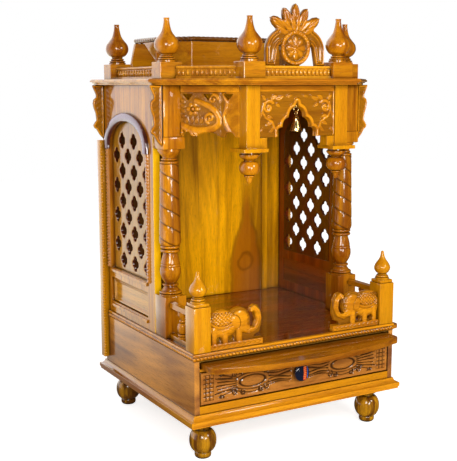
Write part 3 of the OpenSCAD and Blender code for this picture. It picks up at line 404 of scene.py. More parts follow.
# %% [markdown]
# Plain boards stay the frame's own solids. A planed board still has softened edges, and light
# catches them, so each gets a Weld and then a narrow Bevel. The Weld comes first because the
# frame's triangles are loose.

# %% Boards
def give_material(name, material):
    """Gives one of the frame's own solids a material."""
    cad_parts[name].data.materials.clear()
    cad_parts[name].data.materials.append(material)


def soften(name, material, width=1.2):
    """Rounds the edges of one of the frame's boards and finishes it."""
    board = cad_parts[name]
    weld = board.modifiers.new("weld", "WELD")
    weld.merge_threshold = 0.00002
    bevel = board.modifiers.new("soft_edges", "BEVEL")
    bevel.width = width * MM
    bevel.segments = 3
    bevel.limit_method = "ANGLE"
    bevel.angle_limit = math.radians(32)
    give_material(name, material)


for name in ("base_bottom", "shelf", "drawer_runners", "tray_runners", "drawer_sides", "drawer_back",
             "drawer_floor", "base_back"):
    soften(name, inner_wood, 0.8)
for name in ("front_rail", "divider", "crown_box"):
    soften(name, board_wood)
for name in ("front_tray", "side_tray"):
    soften(name, tray_wood, 3.0)
for side in ("left", "right"):
    soften("base_side_" + side, side_wood)
    soften("wall_frame_" + side, frame_wood)
    soften("bay_post_" + side, post_wood)
    soften("moulding_" + side, moulding_side_wood, 1.0)
soften("deck", deck_wood, 1.5)
soften("railings", rail_wood, 2.0)
soften("back_wall", wall_wood)
soften("cornice", moulding_wood, 1.6)
soften("gallery_blocks", board_wood, 1.6)
for name in ("moulding_front", "moulding_back"):
    soften(name, moulding_wood, 1.0)
print("boards finished")

# %% [markdown]
# Turned pieces are made as on a lathe: an outline of radius and height, spun about an upright
# axis. Beads and slow curves follow the same rules as in the frame, with more points, so that
# the varnish shows smooth highlights. A spline draws the onion shapes through a few points.

# %% Lathe helpers
def eased(z0, z1, r0, r1, steps=10):
    """A soft slope from one radius to another."""
    return [(r0 + (r1 - r0) * (1 - math.cos(math.pi * i / steps)) / 2, z0 + (z1 - z0) * i / steps)
            for i in range(steps + 1)]


def bead(z0, z1, radius, out, steps=10):
    """A rounded ring that stands out from a radius."""
    return [(radius + out * math.sin(math.pi * i / steps), z0 + (z1 - z0) * (1 - math.cos(math.pi * i / steps)) / 2)
            for i in range(steps + 1)]


def curve(points, steps=5):
    """A smooth curve through a few (radius, height) points."""
    knots = [points[0], *points, points[-1]]
    made = []
    for p0, p1, p2, p3 in zip(knots, knots[1:], knots[2:], knots[3:]):
        for i in range(steps):
            t = i / steps
            made.append(tuple(
                0.5 * (2 * b + (c - a) * t + (2 * a - 5 * b + 4 * c - d) * t * t + (3 * b - a - 3 * c + d) * t ** 3)
                for a, b, c, d in zip(p0, p1, p2, p3)))
    return [*made, points[-1]]


def turn(bm, outline, foot, steps=48):
    """Spins an outline of (radius, height) in millimetres about the axis over foot."""
    closed = [(0, outline[0][1]), *outline, (0, outline[-1][1])]
    ring = [bm.verts.new((foot[0] + r * MM, foot[1], foot[2] + z * MM)) for r, z in closed]
    edges = [bm.edges.new(pair) for pair in zip(ring, ring[1:])]
    bmesh.ops.spin(bm, geom=ring + edges, cent=foot, axis=(0, 0, 1), angle=math.tau, steps=steps, use_merge=True)


print("lathe helpers ready")

# %% Helpers for blocks and pieces
def block(bm, low, high, width=1.2):
    """A block between two corners in metres, with softened edges."""
    low, high = Vector(low), Vector(high)
    made = bmesh.ops.create_cube(bm, size=1)["verts"]
    bmesh.ops.scale(bm, verts=made, vec=high - low)
    bmesh.ops.translate(bm, verts=made, vec=(high + low) / 2)
    edges = list({edge for vert in made for edge in vert.link_edges})
    bmesh.ops.bevel(bm, geom=edges, offset=width * MM, affect="EDGES", segments=2, profile=0.5, material=-1)


def finish_piece(name, bm, material, stands_for, body="cabinet", angle=40):
    """Turns a bmesh into a piece that rides on a body and stands for a node of the frame."""
    bmesh.ops.remove_doubles(bm, verts=bm.verts, dist=0.00001)
    bmesh.ops.recalc_face_normals(bm, faces=bm.faces)
    mesh = bpy.data.meshes.new(name)
    bm.to_mesh(mesh)
    bm.free()
    mesh.shade_smooth()
    mesh.set_sharp_from_angle(angle=math.radians(angle))
    mesh.materials.append(material)
    piece = new_object(name, mesh)
    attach(piece, body)
    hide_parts(stands_for)
    print(name, len(mesh.polygons), "faces")


print("piece helpers ready")

# %% [markdown]
# The feet are balls between a small pad and a collar. The roof finials are onions that draw out
# into a long neck with a cut top; the ones on the corner posts end in a small blunt tip.

# %% Feet and roof finials
def turned_pieces(name, node_name, material, outline, spots, steps=48):
    """One piece of several like turnings, each on its spot."""
    bm = bmesh.new()
    for spot in spots:
        turn(bm, outline, spot, steps)
    finish_piece(name, bm, material, node_name)


FOOT_H, BALL_R = 90, 31
foot_outline = [(15, 0), (17, 2), *bead(2, 14.4, 17, 2), *bead(14.4, 66.6, 15, 16, 20), *eased(66.6, 73.8, 15, 17),
                *bead(73.8, FOOT_H, 21, 4)]
low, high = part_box("feet")
spots = [(x, y, 0) for x in (low.x + BALL_R * MM, high.x - BALL_R * MM)
         for y in (low.y + BALL_R * MM, high.y - BALL_R * MM)]
turned_pieces("turned_feet", "feet", foot_wood, foot_outline, spots)

FINIAL_R = 28.5
finial_outline = [
    (21, 0), (21, 4), *bead(4.5, 9, 17, 3), *bead(10, 14, 15, 1.6), *eased(14, 17, 13, 14, 4),
    *curve([(14, 17), (21, 21), (27, 30), (FINIAL_R, 38), (26, 48), (19, 57), (12.5, 66), (9, 76), (7, 86),
            (6.2, 92), (6.8, 97)])]
PENDANT_R, FINIAL_BEHIND = 24, 3
low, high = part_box("roof_finials")
bay_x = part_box("pendants")[1].x - PENDANT_R * MM
side_x = high.x - FINIAL_R * MM
back_y, front_y = high.y - FINIAL_R * MM, low.y + FINIAL_R * MM
column_low, column_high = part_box("column_right")
side_y = (column_low.y + column_high.y) / 2 + FINIAL_BEHIND * MM
spots = [(side * x, y, low.z) for x, y in ((side_x, back_y), (side_x, side_y), (bay_x, front_y)) for side in (-1, 1)]
turned_pieces("turned_roof_finials", "roof_finials", turned_wood, finial_outline, spots)

# %% Pendants and balusters
PENDANT_H, BALUSTER_H, BALUSTER_R = 70, 62.4, 13
pendant_outline = [
    (2, 0), *curve([(4, 0.6), (6, 5), (7.5, 12), (9, 14)]), *bead(14, 19, 9, 3), *bead(19.5, 50, 12, 11, 18),
    *eased(50.5, 60, 12, 21), *bead(60, 65.8, 20, 3), (20, 66), (20, PENDANT_H)]
low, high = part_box("pendants")
spots = [(side * bay_x, (low.y + high.y) / 2, low.z) for side in (-1, 1)]
turned_pieces("turned_pendants", "pendants", turned_wood, pendant_outline, spots)

baluster_outline = [
    (11, 0), (11, 6), *bead(6.5, 12, 8, 3), *bead(12.5, 38, 6.5, 6, 16), *bead(38.5, 45, 6, 3),
    *eased(45, 55, 6, 10), (11, 56), (11, BALUSTER_H)]
low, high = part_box("balusters")
spots = [(side * (high.x - BALUSTER_R * MM), (low.y + high.y) / 2, low.z) for side in (-1, 1)]
turned_pieces("turned_balusters", "balusters", turned_wood, baluster_outline, spots, 32)

# %% Corner posts
POST_H, CAP_H, POST_FINIAL_H = 109.4, 8, 69
post_finial_outline = [
    (17, 0), (17, 4), *bead(4.5, 9.5, 13, 2.5), *eased(9.5, 12, 11.5, 12, 4),
    *curve([(10, 13.5), (15, 17), (19, 24), (19.2, 31), (15, 40), (9, 48), (5.4, 56), (4, 63), (3.6, 67)]),
    (2, POST_FINIAL_H)]
for side in ("left", "right"):
    low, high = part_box("corner_post_" + side)
    middle = (low + high) / 2
    top = low.z + POST_H * MM
    bm = bmesh.new()
    block(bm, low, (high.x, high.y, top - CAP_H * MM))
    block(bm, (low.x + 2 * MM, low.y + 2 * MM, top - CAP_H * MM), (high.x - 2 * MM, high.y - 2 * MM, top), 2.4)
    turn(bm, post_finial_outline, (middle.x, middle.y, top))
    finish_piece("carved_post_" + side, bm, post_wood, "corner_post_" + side)

# %% [markdown]
# A column is turned from one square billet, so its plinth and its head stay square. Between
# them come a collar, a vase, two rings, the shaft with its winding grooves, and a capital that
# opens back to the square. The shaft is a plain spun tube that tapers upward, with its skin
# pressed in along two lines that wind up it; a tube with many rings takes the grooves cleanly.

# %% Column outlines
COLUMN_W, PLINTH_H, CAPITAL_H, HEAD_H = 55, 96, 34, 28
SHAFT_R, SHAFT_TURNS, GROOVES, GROOVE_DEPTH = 22.5, 2.45, 2, 0.05
FOOT_SWELL, TAPER, FOOT_ROUND, FOOT_ROUND_H = 1.155, 0.17, 0.13, 10
half = COLUMN_W / 2
vase_outline = [
    (half - 1, 0), (half - 1, 4), *bead(4.5, 11, half - 5, 4), *eased(11.5, 22, half - 7, 15), *bead(22, 28, 15, 4),
    *curve([(14, 29), (16.5, 33), (21, 41), (24.2, 51), (24.6, 60), (23.6, 67)], 4), (22.4, 68), (22.4, 69),
    (23.2, 70), (22.7, 73), (21.6, 74), (21.6, 75), (22.3, 76),
    *curve([(22, 78), (20, 87), (17.5, 96), (16.5, 100)], 4), *bead(100.5, 109, 18, 5), *bead(109.5, 117.9, 18.5, 4.6)]
capital_outline = [
    *bead(0, 7, 18, 4.4), *bead(7.5, 13, 16, 3.2), *eased(13.5, 28, 16, half - 3), (half - 1, 29),
    (half - 1, CAPITAL_H)]


print(len(vase_outline), "points in the vase,", len(capital_outline), "in the capital")

# %% Columns and shafts
def winding_shaft(bm, centre, z0, z1, rings=150, around=72):
    """A tube with grooves that wind round it."""
    outline = [(SHAFT_R, z * (z1 - z0) / MM / rings) for z in range(rings + 1)]
    turn(bm, outline, (0, 0, 0), around)
    depth = bm.verts.layers.float.new("depth")
    for vert in bm.verts:
        angle = math.atan2(vert.co.y, vert.co.x)
        climb = vert.co.z / (z1 - z0)
        lobe = GROOVES * (angle / math.tau + SHAFT_TURNS * climb) % 1
        groove = math.exp(-(((lobe - 0.5) / 0.05) ** 2)) + 0.3 * math.exp(-(((lobe - 0.4) / 0.16) ** 2))
        rounded = FOOT_ROUND * max(0.0, 1 - climb * (z1 - z0) / (FOOT_ROUND_H * MM)) ** 2
        vert.co.xy *= FOOT_SWELL - TAPER * climb - rounded - GROOVE_DEPTH * groove
        # This depth darkens the shaft's grooves in its wood: painted shade, with some stain.
        vert[depth] = 1 - groove
        vert.co += Vector((centre[0], centre[1], z0))


for side in ("left", "right"):
    low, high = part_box("column_" + side)
    middle = (low + high) / 2
    shaft_low, shaft_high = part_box("shaft_" + side)
    frieze_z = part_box("arch_panel")[0].z
    cap_z = frieze_z - HEAD_H * MM
    bm = bmesh.new()
    block(bm, low, (high.x, high.y, low.z + PLINTH_H * MM), 1.6)
    turn(bm, vase_outline, (middle.x, middle.y, low.z + PLINTH_H * MM))
    turn(bm, capital_outline, (middle.x, middle.y, shaft_high.z))
    block(bm, (low.x, low.y, cap_z), (high.x, high.y, frieze_z), 2.5)
    block(bm, (low.x + 2 * MM, low.y + 2 * MM, frieze_z), (high.x - 2 * MM, high.y - 2 * MM, high.z))
    finish_piece("turned_column_" + side, bm, turned_wood, "column_" + side)
    bm = bmesh.new()
    winding_shaft(bm, (middle.x, middle.y), shaft_low.z, shaft_high.z)
    finish_piece("winding_shaft_" + side, bm, shaft_wood, "shaft_" + side, angle=60)

# %% [markdown]
# Knob and bell. The knob's outline is spun about Z and then laid forward, so that its neck meets
# the drawer. The bell and its screw eye stay the frame's own solids, in brass.

# %% Knob and bell
knob_outline = [(11, 0), (11, 2), (8, 3), *eased(3, 7, 8, 15), *bead(7, 15, 15, 5, 16), *eased(15, 17, 14, 0.5)]
bm = bmesh.new()
turn(bm, knob_outline, (0, 0, 0))
bmesh.ops.rotate(bm, verts=bm.verts, cent=(0, 0, 0), matrix=Matrix.Rotation(math.radians(90), 3, "X"))
bmesh.ops.translate(bm, verts=bm.verts, vec=(knob_middle.x, knob_high.y, knob_middle.z))
finish_piece("glazed_knob", bm, glaze, "knob", "drawer")

for name in ("bell_hook", "bell"):
    give_material(name, brass)

# %% [markdown]
# Carving. A carved board is a fine grid that is cut to an outline, pushed out by a relief and
# closed at its back. Both the outline and the relief are plain distances: how far a point is
# from a line, a circle or a leaf. A gouge cut is a round valley and a leaf is a round ridge, so
# a few such shapes, joined by taking the higher one, make a carved panel. Every length here is
# in millimetres on the board: u runs along it and v up it.

# %% Ridges and gouge lines
def to_segment(u, v, a, b):
    """Distance to a line from a to b, and how far along it the nearest point lies."""
    du, dv = b[0] - a[0], b[1] - a[1]
    along = np.clip(((u - a[0]) * du + (v - a[1]) * dv) / (du * du + dv * dv + 1e-9), 0, 1)
    return np.hypot(u - a[0] - along * du, v - a[1] - along * dv), along


def dome(away, radius=1):
    """A half round: 1 where the distance is nil and 0 beyond the radius."""
    return np.sqrt(np.clip(1 - (away / radius) ** 2, 0, 1))


def cut(away, width=1.9):
    """A gouge line: deepest where the distance is nil."""
    return np.exp(-((away / width) ** 2))


def stroke(u, v, path, r0, r1, high):
    """A round ridge along a path, with half width r0 at its start and r1 at its end."""
    made = np.zeros_like(u)
    for i, (a, b) in enumerate(zip(path, path[1:])):
        away, along = to_segment(u, v, a, b)
        radius = r0 + (r1 - r0) * (i + along) / (len(path) - 1)
        made = np.maximum(made, high * dome(away, radius))
    return made


print("ridges and gouge lines ready")

# %% Leaves, flowers and scrolls
def leaf(u, v, root, tip, half, high, bend=0.0, vein=0.35, fullness=0.8):
    """A pointed leaf with a cut middle vein. bend curves it to its left."""
    du, dv = tip[0] - root[0], tip[1] - root[1]
    length = math.hypot(du, dv)
    s = ((u - root[0]) * du + (v - root[1]) * dv) / length ** 2
    q = (-(u - root[0]) * dv + (v - root[1]) * du) / length
    s_in = np.clip(s, 0, 1)
    q = q - bend * length * 4 * s_in * (1 - s_in)
    width = half * np.sin(math.pi * s_in ** fullness) + 1e-6
    body = high * dome(q, width)
    groove = vein * high * cut(q, 0.16 * half)
    return np.where((s > 0) & (s < 1) & (np.abs(q) < width), np.maximum(body - groove, 0), 0)


def leaves(u, v, rows):
    """Several leaves, each a row of root u and v, tip u and v, half width, height and bend."""
    return highest(*[leaf(u, v, row[:2], row[2:4], *row[4:]) for row in rows])


def mound(u, v, centre, half_u, half_v, high, tilt=0.0):
    """A smooth oval hump."""
    c, s = math.cos(tilt), math.sin(tilt)
    du, dv = u - centre[0], v - centre[1]
    away = ((du * c + dv * s) / half_u) ** 2 + ((dv * c - du * s) / half_v) ** 2
    return high * np.sqrt(np.clip(1 - away, 0, 1))


def rosette(u, v, centre, radius, petals, high):
    """A round flower with a boss in its middle."""
    r = np.hypot(u - centre[0], v - centre[1])
    wave = np.abs(np.cos(petals * np.arctan2(v - centre[1], u - centre[0]) / 2))
    edge = radius * (0.78 + 0.22 * wave)
    flower = high * np.sqrt(np.clip(1 - (r / edge) ** 4, 0, 1)) * (0.45 + 0.55 * wave ** 0.6)
    boss = high * 1.1 * dome(r, 0.3 * radius)
    return np.where(r < 0.34 * radius, boss, np.where(r < edge, flower, 0))


def spiral(centre, radius, turns, start, steps=26, close=0.12):
    """Points of a scroll that winds inward. A negative number of turns winds it clockwise."""
    return [(centre[0] + radius * (1 - (1 - close) * i / steps) * math.cos(start + math.tau * turns * i / steps),
             centre[1] + radius * (1 - (1 - close) * i / steps) * math.sin(start + math.tau * turns * i / steps))
            for i in range(steps + 1)]


print("leaves, flowers and scrolls ready")

# %% Outlines of boards
def highest(*shapes):
    """The higher of several reliefs."""
    made = shapes[0]
    for shape in shapes[1:]:
        made = np.maximum(made, shape)
    return made


def box_outline(u, v, u0, u1, v0, v1):
    """Distance to a rectangle: negative inside."""
    du, dv = np.abs(u - (u0 + u1) / 2) - (u1 - u0) / 2, np.abs(v - (v0 + v1) / 2) - (v1 - v0) / 2
    return np.hypot(np.maximum(du, 0), np.maximum(dv, 0)) + np.minimum(np.maximum(du, dv), 0)


def whole(size):
    """The outline of a board that fills its size, ((u0, u1), (v0, v1))."""
    return lambda u, v: box_outline(u, v, *size[0], *size[1])


def flipped(shape, width=0):
    """An outline or relief mirrored on its board."""
    return lambda u, v: shape(width - u, v)


def shape_outline(u, v, points):
    """Distance to a closed outline through points: negative inside."""
    away = np.full_like(u, 1e9)
    inside = np.zeros(u.shape, bool)
    for a, b in zip(points, [*points[1:], points[0]]):
        away = np.minimum(away, to_segment(u, v, a, b)[0])
        crosses = (a[1] > v) != (b[1] > v)
        with np.errstate(divide="ignore", invalid="ignore"):
            at = (b[0] - a[0]) * (v - a[1]) / (b[1] - a[1] + 1e-12) + a[0]
        inside ^= crosses & (u < at)
    return np.where(inside, -away, away)


def pierced(outline, *holes):
    """An outline with holes cut out of it."""
    made = outline
    for hole in holes:
        made = np.maximum(made, -hole)
    return made


print("outlines ready")

# %% Placing a board
UP = Vector((0, 0, 1))


def axes(origin, along=(1, 0, 0)):
    """Placing matrix of an upright board: u runs along, and the relief stands out of u and v."""
    along = Vector(along).normalized()
    made = Matrix((along, UP, along.cross(UP))).transposed().to_4x4()
    made.translation = Vector(origin)
    return made


def on_wall(low, high, side):
    """Placing matrix of a board on the left or the right side wall, between two corners."""
    return axes((low.x if side < 0 else high.x, (low.y + high.y) / 2, low.z), (0, side, 0))


print("placing helpers ready")

# %% Carving a board
PROBE = 0.05


def carve(bm, size, cell, outline, relief, thickness, placing, edge=1.4, both=False):
    """Adds a carved board. size is ((u0, u1), (v0, v1)), and both carves its back too."""
    (u0, u1), (v0, v1) = size
    board = bmesh.new()
    depth = board.verts.layers.float.new("depth")
    bmesh.ops.create_grid(board, x_segments=round((u1 - u0) / cell), y_segments=round((v1 - v0) / cell), size=0.5)
    bmesh.ops.scale(board, verts=board.verts, vec=(u1 - u0, v1 - v0, 1))
    bmesh.ops.translate(board, verts=board.verts, vec=((u0 + u1) / 2, (v0 + v1) / 2, 0))
    middles = np.array([face.calc_center_median()[:2] for face in board.faces])
    outside = outline(middles[:, 0], middles[:, 1]) > 0
    faces = [face for face, out in zip(board.faces[:], outside) if out]
    bmesh.ops.delete(board, geom=faces, context="FACES")
    spots = np.array([vert.co[:2] for vert in board.verts])
    rim = np.array([any(e.is_boundary for e in vert.link_edges) for vert in board.verts])
    u, v = spots[:, 0].copy(), spots[:, 1].copy()
    for _ in range(2):
        away = outline(u, v)
        slope_u = (outline(u + PROBE, v) - outline(u - PROBE, v)) / (2 * PROBE)
        slope_v = (outline(u, v + PROBE) - outline(u, v - PROBE)) / (2 * PROBE)
        step = np.clip(away, -0.8 * cell, 0.8 * cell) * rim
        u, v = u - step * slope_u, v - step * slope_v
    inside = np.maximum(-outline(u, v), 0)
    high = relief(u, v)
    round_edge = edge * (1 - dome(1 - np.minimum(inside, edge) / edge))
    span = max(float(high.max() - high.min()), 1e-6)
    # The depth darkens the carved hollows in the wood: painted shade, with some stain.
    for vert, x, y, z, level in zip(board.verts, u, v, high - round_edge, (high - high.min()) / span):
        vert.co = (x, y, z)
        vert[depth] = level
    grown = bmesh.ops.extrude_face_region(board, geom=board.faces[:], use_keep_orig=True)["geom"]
    for vert in (part for part in grown if isinstance(part, bmesh.types.BMVert)):
        vert.co.z = -thickness - vert.co.z if both else -thickness
        vert[depth] = vert[depth] if both else 1.0
    bmesh.ops.scale(board, verts=board.verts, vec=(MM, MM, MM))
    bmesh.ops.transform(board, matrix=placing, verts=board.verts)
    bmesh.ops.recalc_face_normals(board, faces=board.faces)
    shape = bpy.data.meshes.new("carving")
    board.to_mesh(shape)
    board.free()
    bm.from_mesh(shape)
    bpy.data.meshes.remove(shape)


print("carving ready")

# %% [markdown]
# The drawer front. A plain border frames a sunk field of gouged lines. On either side of the
# knob lies a smooth almond between curls, waves run from it to the knob, lines fan out the other
# way, and a small chequer closes the ends.

# %% Drawer front
low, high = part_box("drawer_front")
DRAWER_W, DRAWER_T, DRAWER_H = [(b - a) / MM for a, b in zip(low, high)]
BORDER = 7
drawer_size = ((-DRAWER_W / 2, DRAWER_W / 2), (-DRAWER_H / 2, DRAWER_H / 2))


def drawer_relief(u, v):
    """The same motif on the left and the right of the knob."""
    w = np.abs(u)
    almond = np.hypot((w - 126) / 33, v / 13)
    lines = highest(cut(14 * (almond - 1)), 0.8 * cut(16 * (almond - 1.5)) * (np.abs(w - 126) < 44))
    for k in (-1.5, -0.5, 0.5, 1.5):
        wave = 7.5 * k + 2.6 * np.sin(w / 13) * (1 if k > 0 else -1)
        lines = highest(lines, cut(v - wave) * ((w > 23) & (w < 84)))
    for k in range(-3, 4):
        fan = 4.6 * k * (1 + np.clip(w - 166, 0, 60) / 55)
        lines = highest(lines, cut(v - fan, 1.4) * ((w > 166) & (w < 220 - 2 * abs(k))))
    for up in (-1, 1):
        border = up * (20 + 6.5 * np.cos((w - 126) / 22))
        lines = highest(lines, 0.9 * cut(v - border, 1.5) * ((w > 26) & (w < 224)))
        for spot, size in (((88, 19), 8), ((150, 24), 7), ((104, 25), 6), ((172, 21), 7), ((204, 27), 6)):
            curl = spiral((spot[0], up * spot[1]), size, 1.2 * up, -0.8 * up, steps=18)
            lines = highest(lines, stroke(w, v, curl, 2.2, 1.4, 1.0))
    made = 0.8 * dome(almond) - 0.9 - 1.9 * lines
    made = made + 0.35 * np.sin(w / 9 + 2 * np.sin(v / 8)) * (almond > 1.5)
    made = np.maximum(made, -0.4 * (np.hypot(u, v) < 19) - 3 * (np.hypot(u, v) >= 19))
    ends = highest(cut(np.abs((w - 226) % 10 - 5) - 5, 1.5), cut(np.abs(v % 10 - 5) - 5, 1.5))
    made = np.where(w > 226, -0.9 - 1.6 * ends, made)
    return np.where(whole(drawer_size)(u, v) > -BORDER, 0, np.minimum(made, 0))


bm = bmesh.new()
carve(bm, drawer_size, 1.25, whole(drawer_size), drawer_relief, DRAWER_T, axes((0, low.y, (low.z + high.z) / 2)))
finish_piece("carved_drawer_front", bm, drawer_wood, "drawer_front", "drawer")

# %% [markdown]
# Side panels of the shrine. The lattice is sawn from one thin board: crosses of four round
# lobes in staggered rows. Its edge lies in the wall's frame.

# %% Lattices
HOLE_W, HOLE_H, HOLE_PITCH_Y, HOLE_PITCH_Z, HOLE_RIM = 37, 38, 34.5, 37.5, 5
LOBE, HEART = 0.25, 0.2


def lattice_hole(u, v, centre):
    """Distance to a hole with four round lobes."""
    r = LOBE * HOLE_W
    u, v = np.abs(u - centre[0]), np.abs(v - centre[1])
    lobes = np.minimum(np.hypot(u - (HOLE_W / 2 - r), v), np.hypot(u, v - (HOLE_H / 2 - r))) - r
    return np.minimum(lobes, np.maximum(u, v) - HEART * HOLE_W)


def lattice_holes(width, height, rise):
    """Middles of the holes that fit whole under an arch; v is up from the sill."""
    spring, half_width = height - rise, width / 2
    made = []
    for column in range(-3, 3):
        for row in range(0, 14):
            u, v = (column + 0.5) * HOLE_PITCH_Y, (row + 0.75) * HOLE_PITCH_Z
            reach = (abs(u) + HOLE_W / 2) / half_width
            roof = spring + rise * math.sqrt(max(0, 1 - reach * reach))
            aside = abs(u) + HOLE_W / 2 + HOLE_RIM < half_width
            fits = aside and v - HOLE_H / 2 > HOLE_RIM and v + HOLE_H / 2 + HOLE_RIM < roof
            if (column + row) % 2 == 0 and fits:
                made.append((u, v))
    return made


ARCH_RISE = 66
for side, name in ((-1, "lattice_left"), (1, "lattice_right")):
    low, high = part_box(name)
    deep, width, height = [(b - a) / MM for a, b in zip(low, high)]
    holes = lattice_holes(width, height, ARCH_RISE)
    arch = [(width / 2 * math.cos(a), height - ARCH_RISE + ARCH_RISE * math.sin(a))
            for a in np.linspace(0, math.pi, 25)]
    window = [*arch, (-width / 2, 0), (width / 2, 0)]

    def lattice_outline(u, v):
        return pierced(shape_outline(u, v, window), *[lattice_hole(u, v, hole) for hole in holes])

    bm = bmesh.new()
    carve(bm, ((-width / 2, width / 2), (0, height)), 1.9, lattice_outline, lambda u, v: 0 * u, deep,
          on_wall(low, high, side), edge=1.0, both=True)
    finish_piece("sawn_" + name, bm, lattice_wood, name)
print(len(holes), "holes in each lattice")

# %% [markdown]
# The panel over the doorway. Its opening is a pointed arch with three lobes on each side. A
# raised bead follows the arch, the top rail stays plain, and in the sunk corners a stem curls
# round a small flower and sends out leaves.

# %% Arch outline
def bulge(a, top, b, steps=7):
    """Points from a to b that pass through top half-way."""
    pull = [2 * t - (p + q) / 2 for p, t, q in zip(a, top, b)]
    return [tuple((1 - t) ** 2 * p + 2 * t * (1 - t) * c + t * t * q for p, c, q in zip(a, pull, b))
            for t in (i / steps for i in range(steps))]


FRIEZE_H, ARCH_APEX, BOARD_T = 115, 38, 14
apex = FRIEZE_H - ARCH_APEX
cusps = [(0, apex), (7, apex - 12), (17, apex - 19), (22, apex - 34), (34, apex - 41), (38, apex - 56),
         (50, apex - 61), (50.5, -2)]
right_half = [*bulge(cusps[0], (2.5, apex - 7), cusps[1]), *bulge(*cusps[1:4]), *bulge(*cusps[3:6]),
              *bulge(*cusps[5:8])[:5], (50.5, apex - 66), (50.5, -2)]
arch_line = [*right_half, *[(-u, v) for u, v in reversed(right_half[1:])]]
arch_leaves = [(84, 44, 64, 42, 5.5, 3.4, -0.12), (90, 60, 97, 40, 4.5, 3.2, 0.1), (66, 32, 84, 24, 5.5, 3.4, 0.12),
               (62, 24, 76, 10, 5, 3.2, -0.1), (84, 80, 96, 94, 5, 3.2, 0.1), (70, 80, 52, 92, 6, 3.4, -0.12),
               (60, 84, 34, 92, 5.5, 3.2, 0.1), (58, 74, 44, 66, 4.5, 3.2), (92, 22, 96, 8, 4, 3.0),
               (30, 88, 12, 92, 4, 2.8)]
low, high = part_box("arch_panel")
ARCH_W = (high.x - low.x) / MM
arch_size = ((-ARCH_W / 2, ARCH_W / 2), (0, FRIEZE_H))


print(len(arch_line), "points in the pointed arch")

# %% Arch relief and panel
def arch_outline(u, v):
    return pierced(whole(arch_size)(u, v), shape_outline(u, v, arch_line))


def arch_relief(u, v):
    w = np.abs(u)
    off_arch = shape_outline(u, v, arch_line)
    scroll = spiral((76, 66), 15, -1.3, 2.4)
    made = highest(
        stroke(w, v, [(60, 20), (66, 34), (84, 44), (92, 58), (88, 76)], 3.5, 3.0, 3.6),
        stroke(w, v, scroll, 4.2, 2.6, 3.8), rosette(w, v, (76, 66), 7.5, 5, 3.6), leaves(w, v, arch_leaves))
    made = 0.62 * made - 2.9 + 0.2 * np.sin(1.9 * u) * np.sin(1.7 * v)
    made = np.maximum(made, 3.2 * dome(off_arch - 5.5, 4) - 2.9)
    made = np.where(off_arch < 2, -2.2, made)
    frame_edge = np.maximum(w - (ARCH_W / 2 - 3.5), v - 100)
    return np.where(frame_edge > 0, -0.2 - 1.6 * np.exp(-frame_edge), made)


bm = bmesh.new()
carve(bm, arch_size, 1.0, arch_outline, arch_relief, BOARD_T, axes((0, low.y, low.z)))
finish_piece("carved_arch_panel", bm, carved_wood, "arch_panel")

# %% [markdown]
# The canted panels run from a bay post back to a column. A broad scroll winds across each, with
# a flower over it and a fringe of leaves at its foot, a leafy stem stands beside the bay post,
# and three small gaps are cut through under the top rail. u runs from the bay post to the
# column, and the left panel is the right one mirrored.

# %% Canted outline
bay_spot = Vector((bay_x, front_y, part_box("arch_panel")[0].z))
column_spot = Vector(((column_low.x + column_high.x) / 2, (column_low.y + column_high.y) / 2, bay_spot.z))
span = column_spot - bay_spot
CANT_L = span.length / MM
cant_middle = CANT_L / 2
PIERCE_R, GAP_Z, BAY_END, COLUMN_END = 32, 95, 20, 31
cant_gaps = [[(cant_middle + PIERCE_R * (x - 0.35), GAP_Z), (cant_middle + PIERCE_R * (x + 0.35), GAP_Z),
              (cant_middle + PIERCE_R * x, GAP_Z - 0.42 * PIERCE_R)] for x in (-1.5, 0, 1.5)]


def canted_outline(u, v):
    board = box_outline(u, v, BAY_END, CANT_L - COLUMN_END, 0, FRIEZE_H)
    scoop = np.hypot(u - cant_middle, v + PIERCE_R) - 1.35 * PIERCE_R
    bites = [np.hypot(u - cant_middle - 1.6 * x * PIERCE_R, v) - 0.36 * PIERCE_R for x in (-1, 1)]
    return pierced(board, scoop, *bites, *[shape_outline(u, v, gap) for gap in cant_gaps])


print(len(cant_gaps), "gaps in each canted panel")

# %% Canted relief and panels
canted_leaves = [(50, 56, 34, 40, 5, 3.6, 0.14), (54, 42, 38, 20, 5.5, 3.6, 0.12), (64, 74, 74, 94, 4.5, 3.6)]
canted_leaves += [(160 - 11 * k, 18 - 0.8 * k, 148 - 11 * k, 2, 5.2, 6.6, 0.2) for k in range(7)]
for k in range(4):
    canted_leaves += [(116 + 11 * k, 30, 108 + 12 * k, 46, 5, 3.6, 0.1),
                      (148, 46 + 10 * k, 162, 50 + 12 * k, 4.5, 3.6, -0.1)]


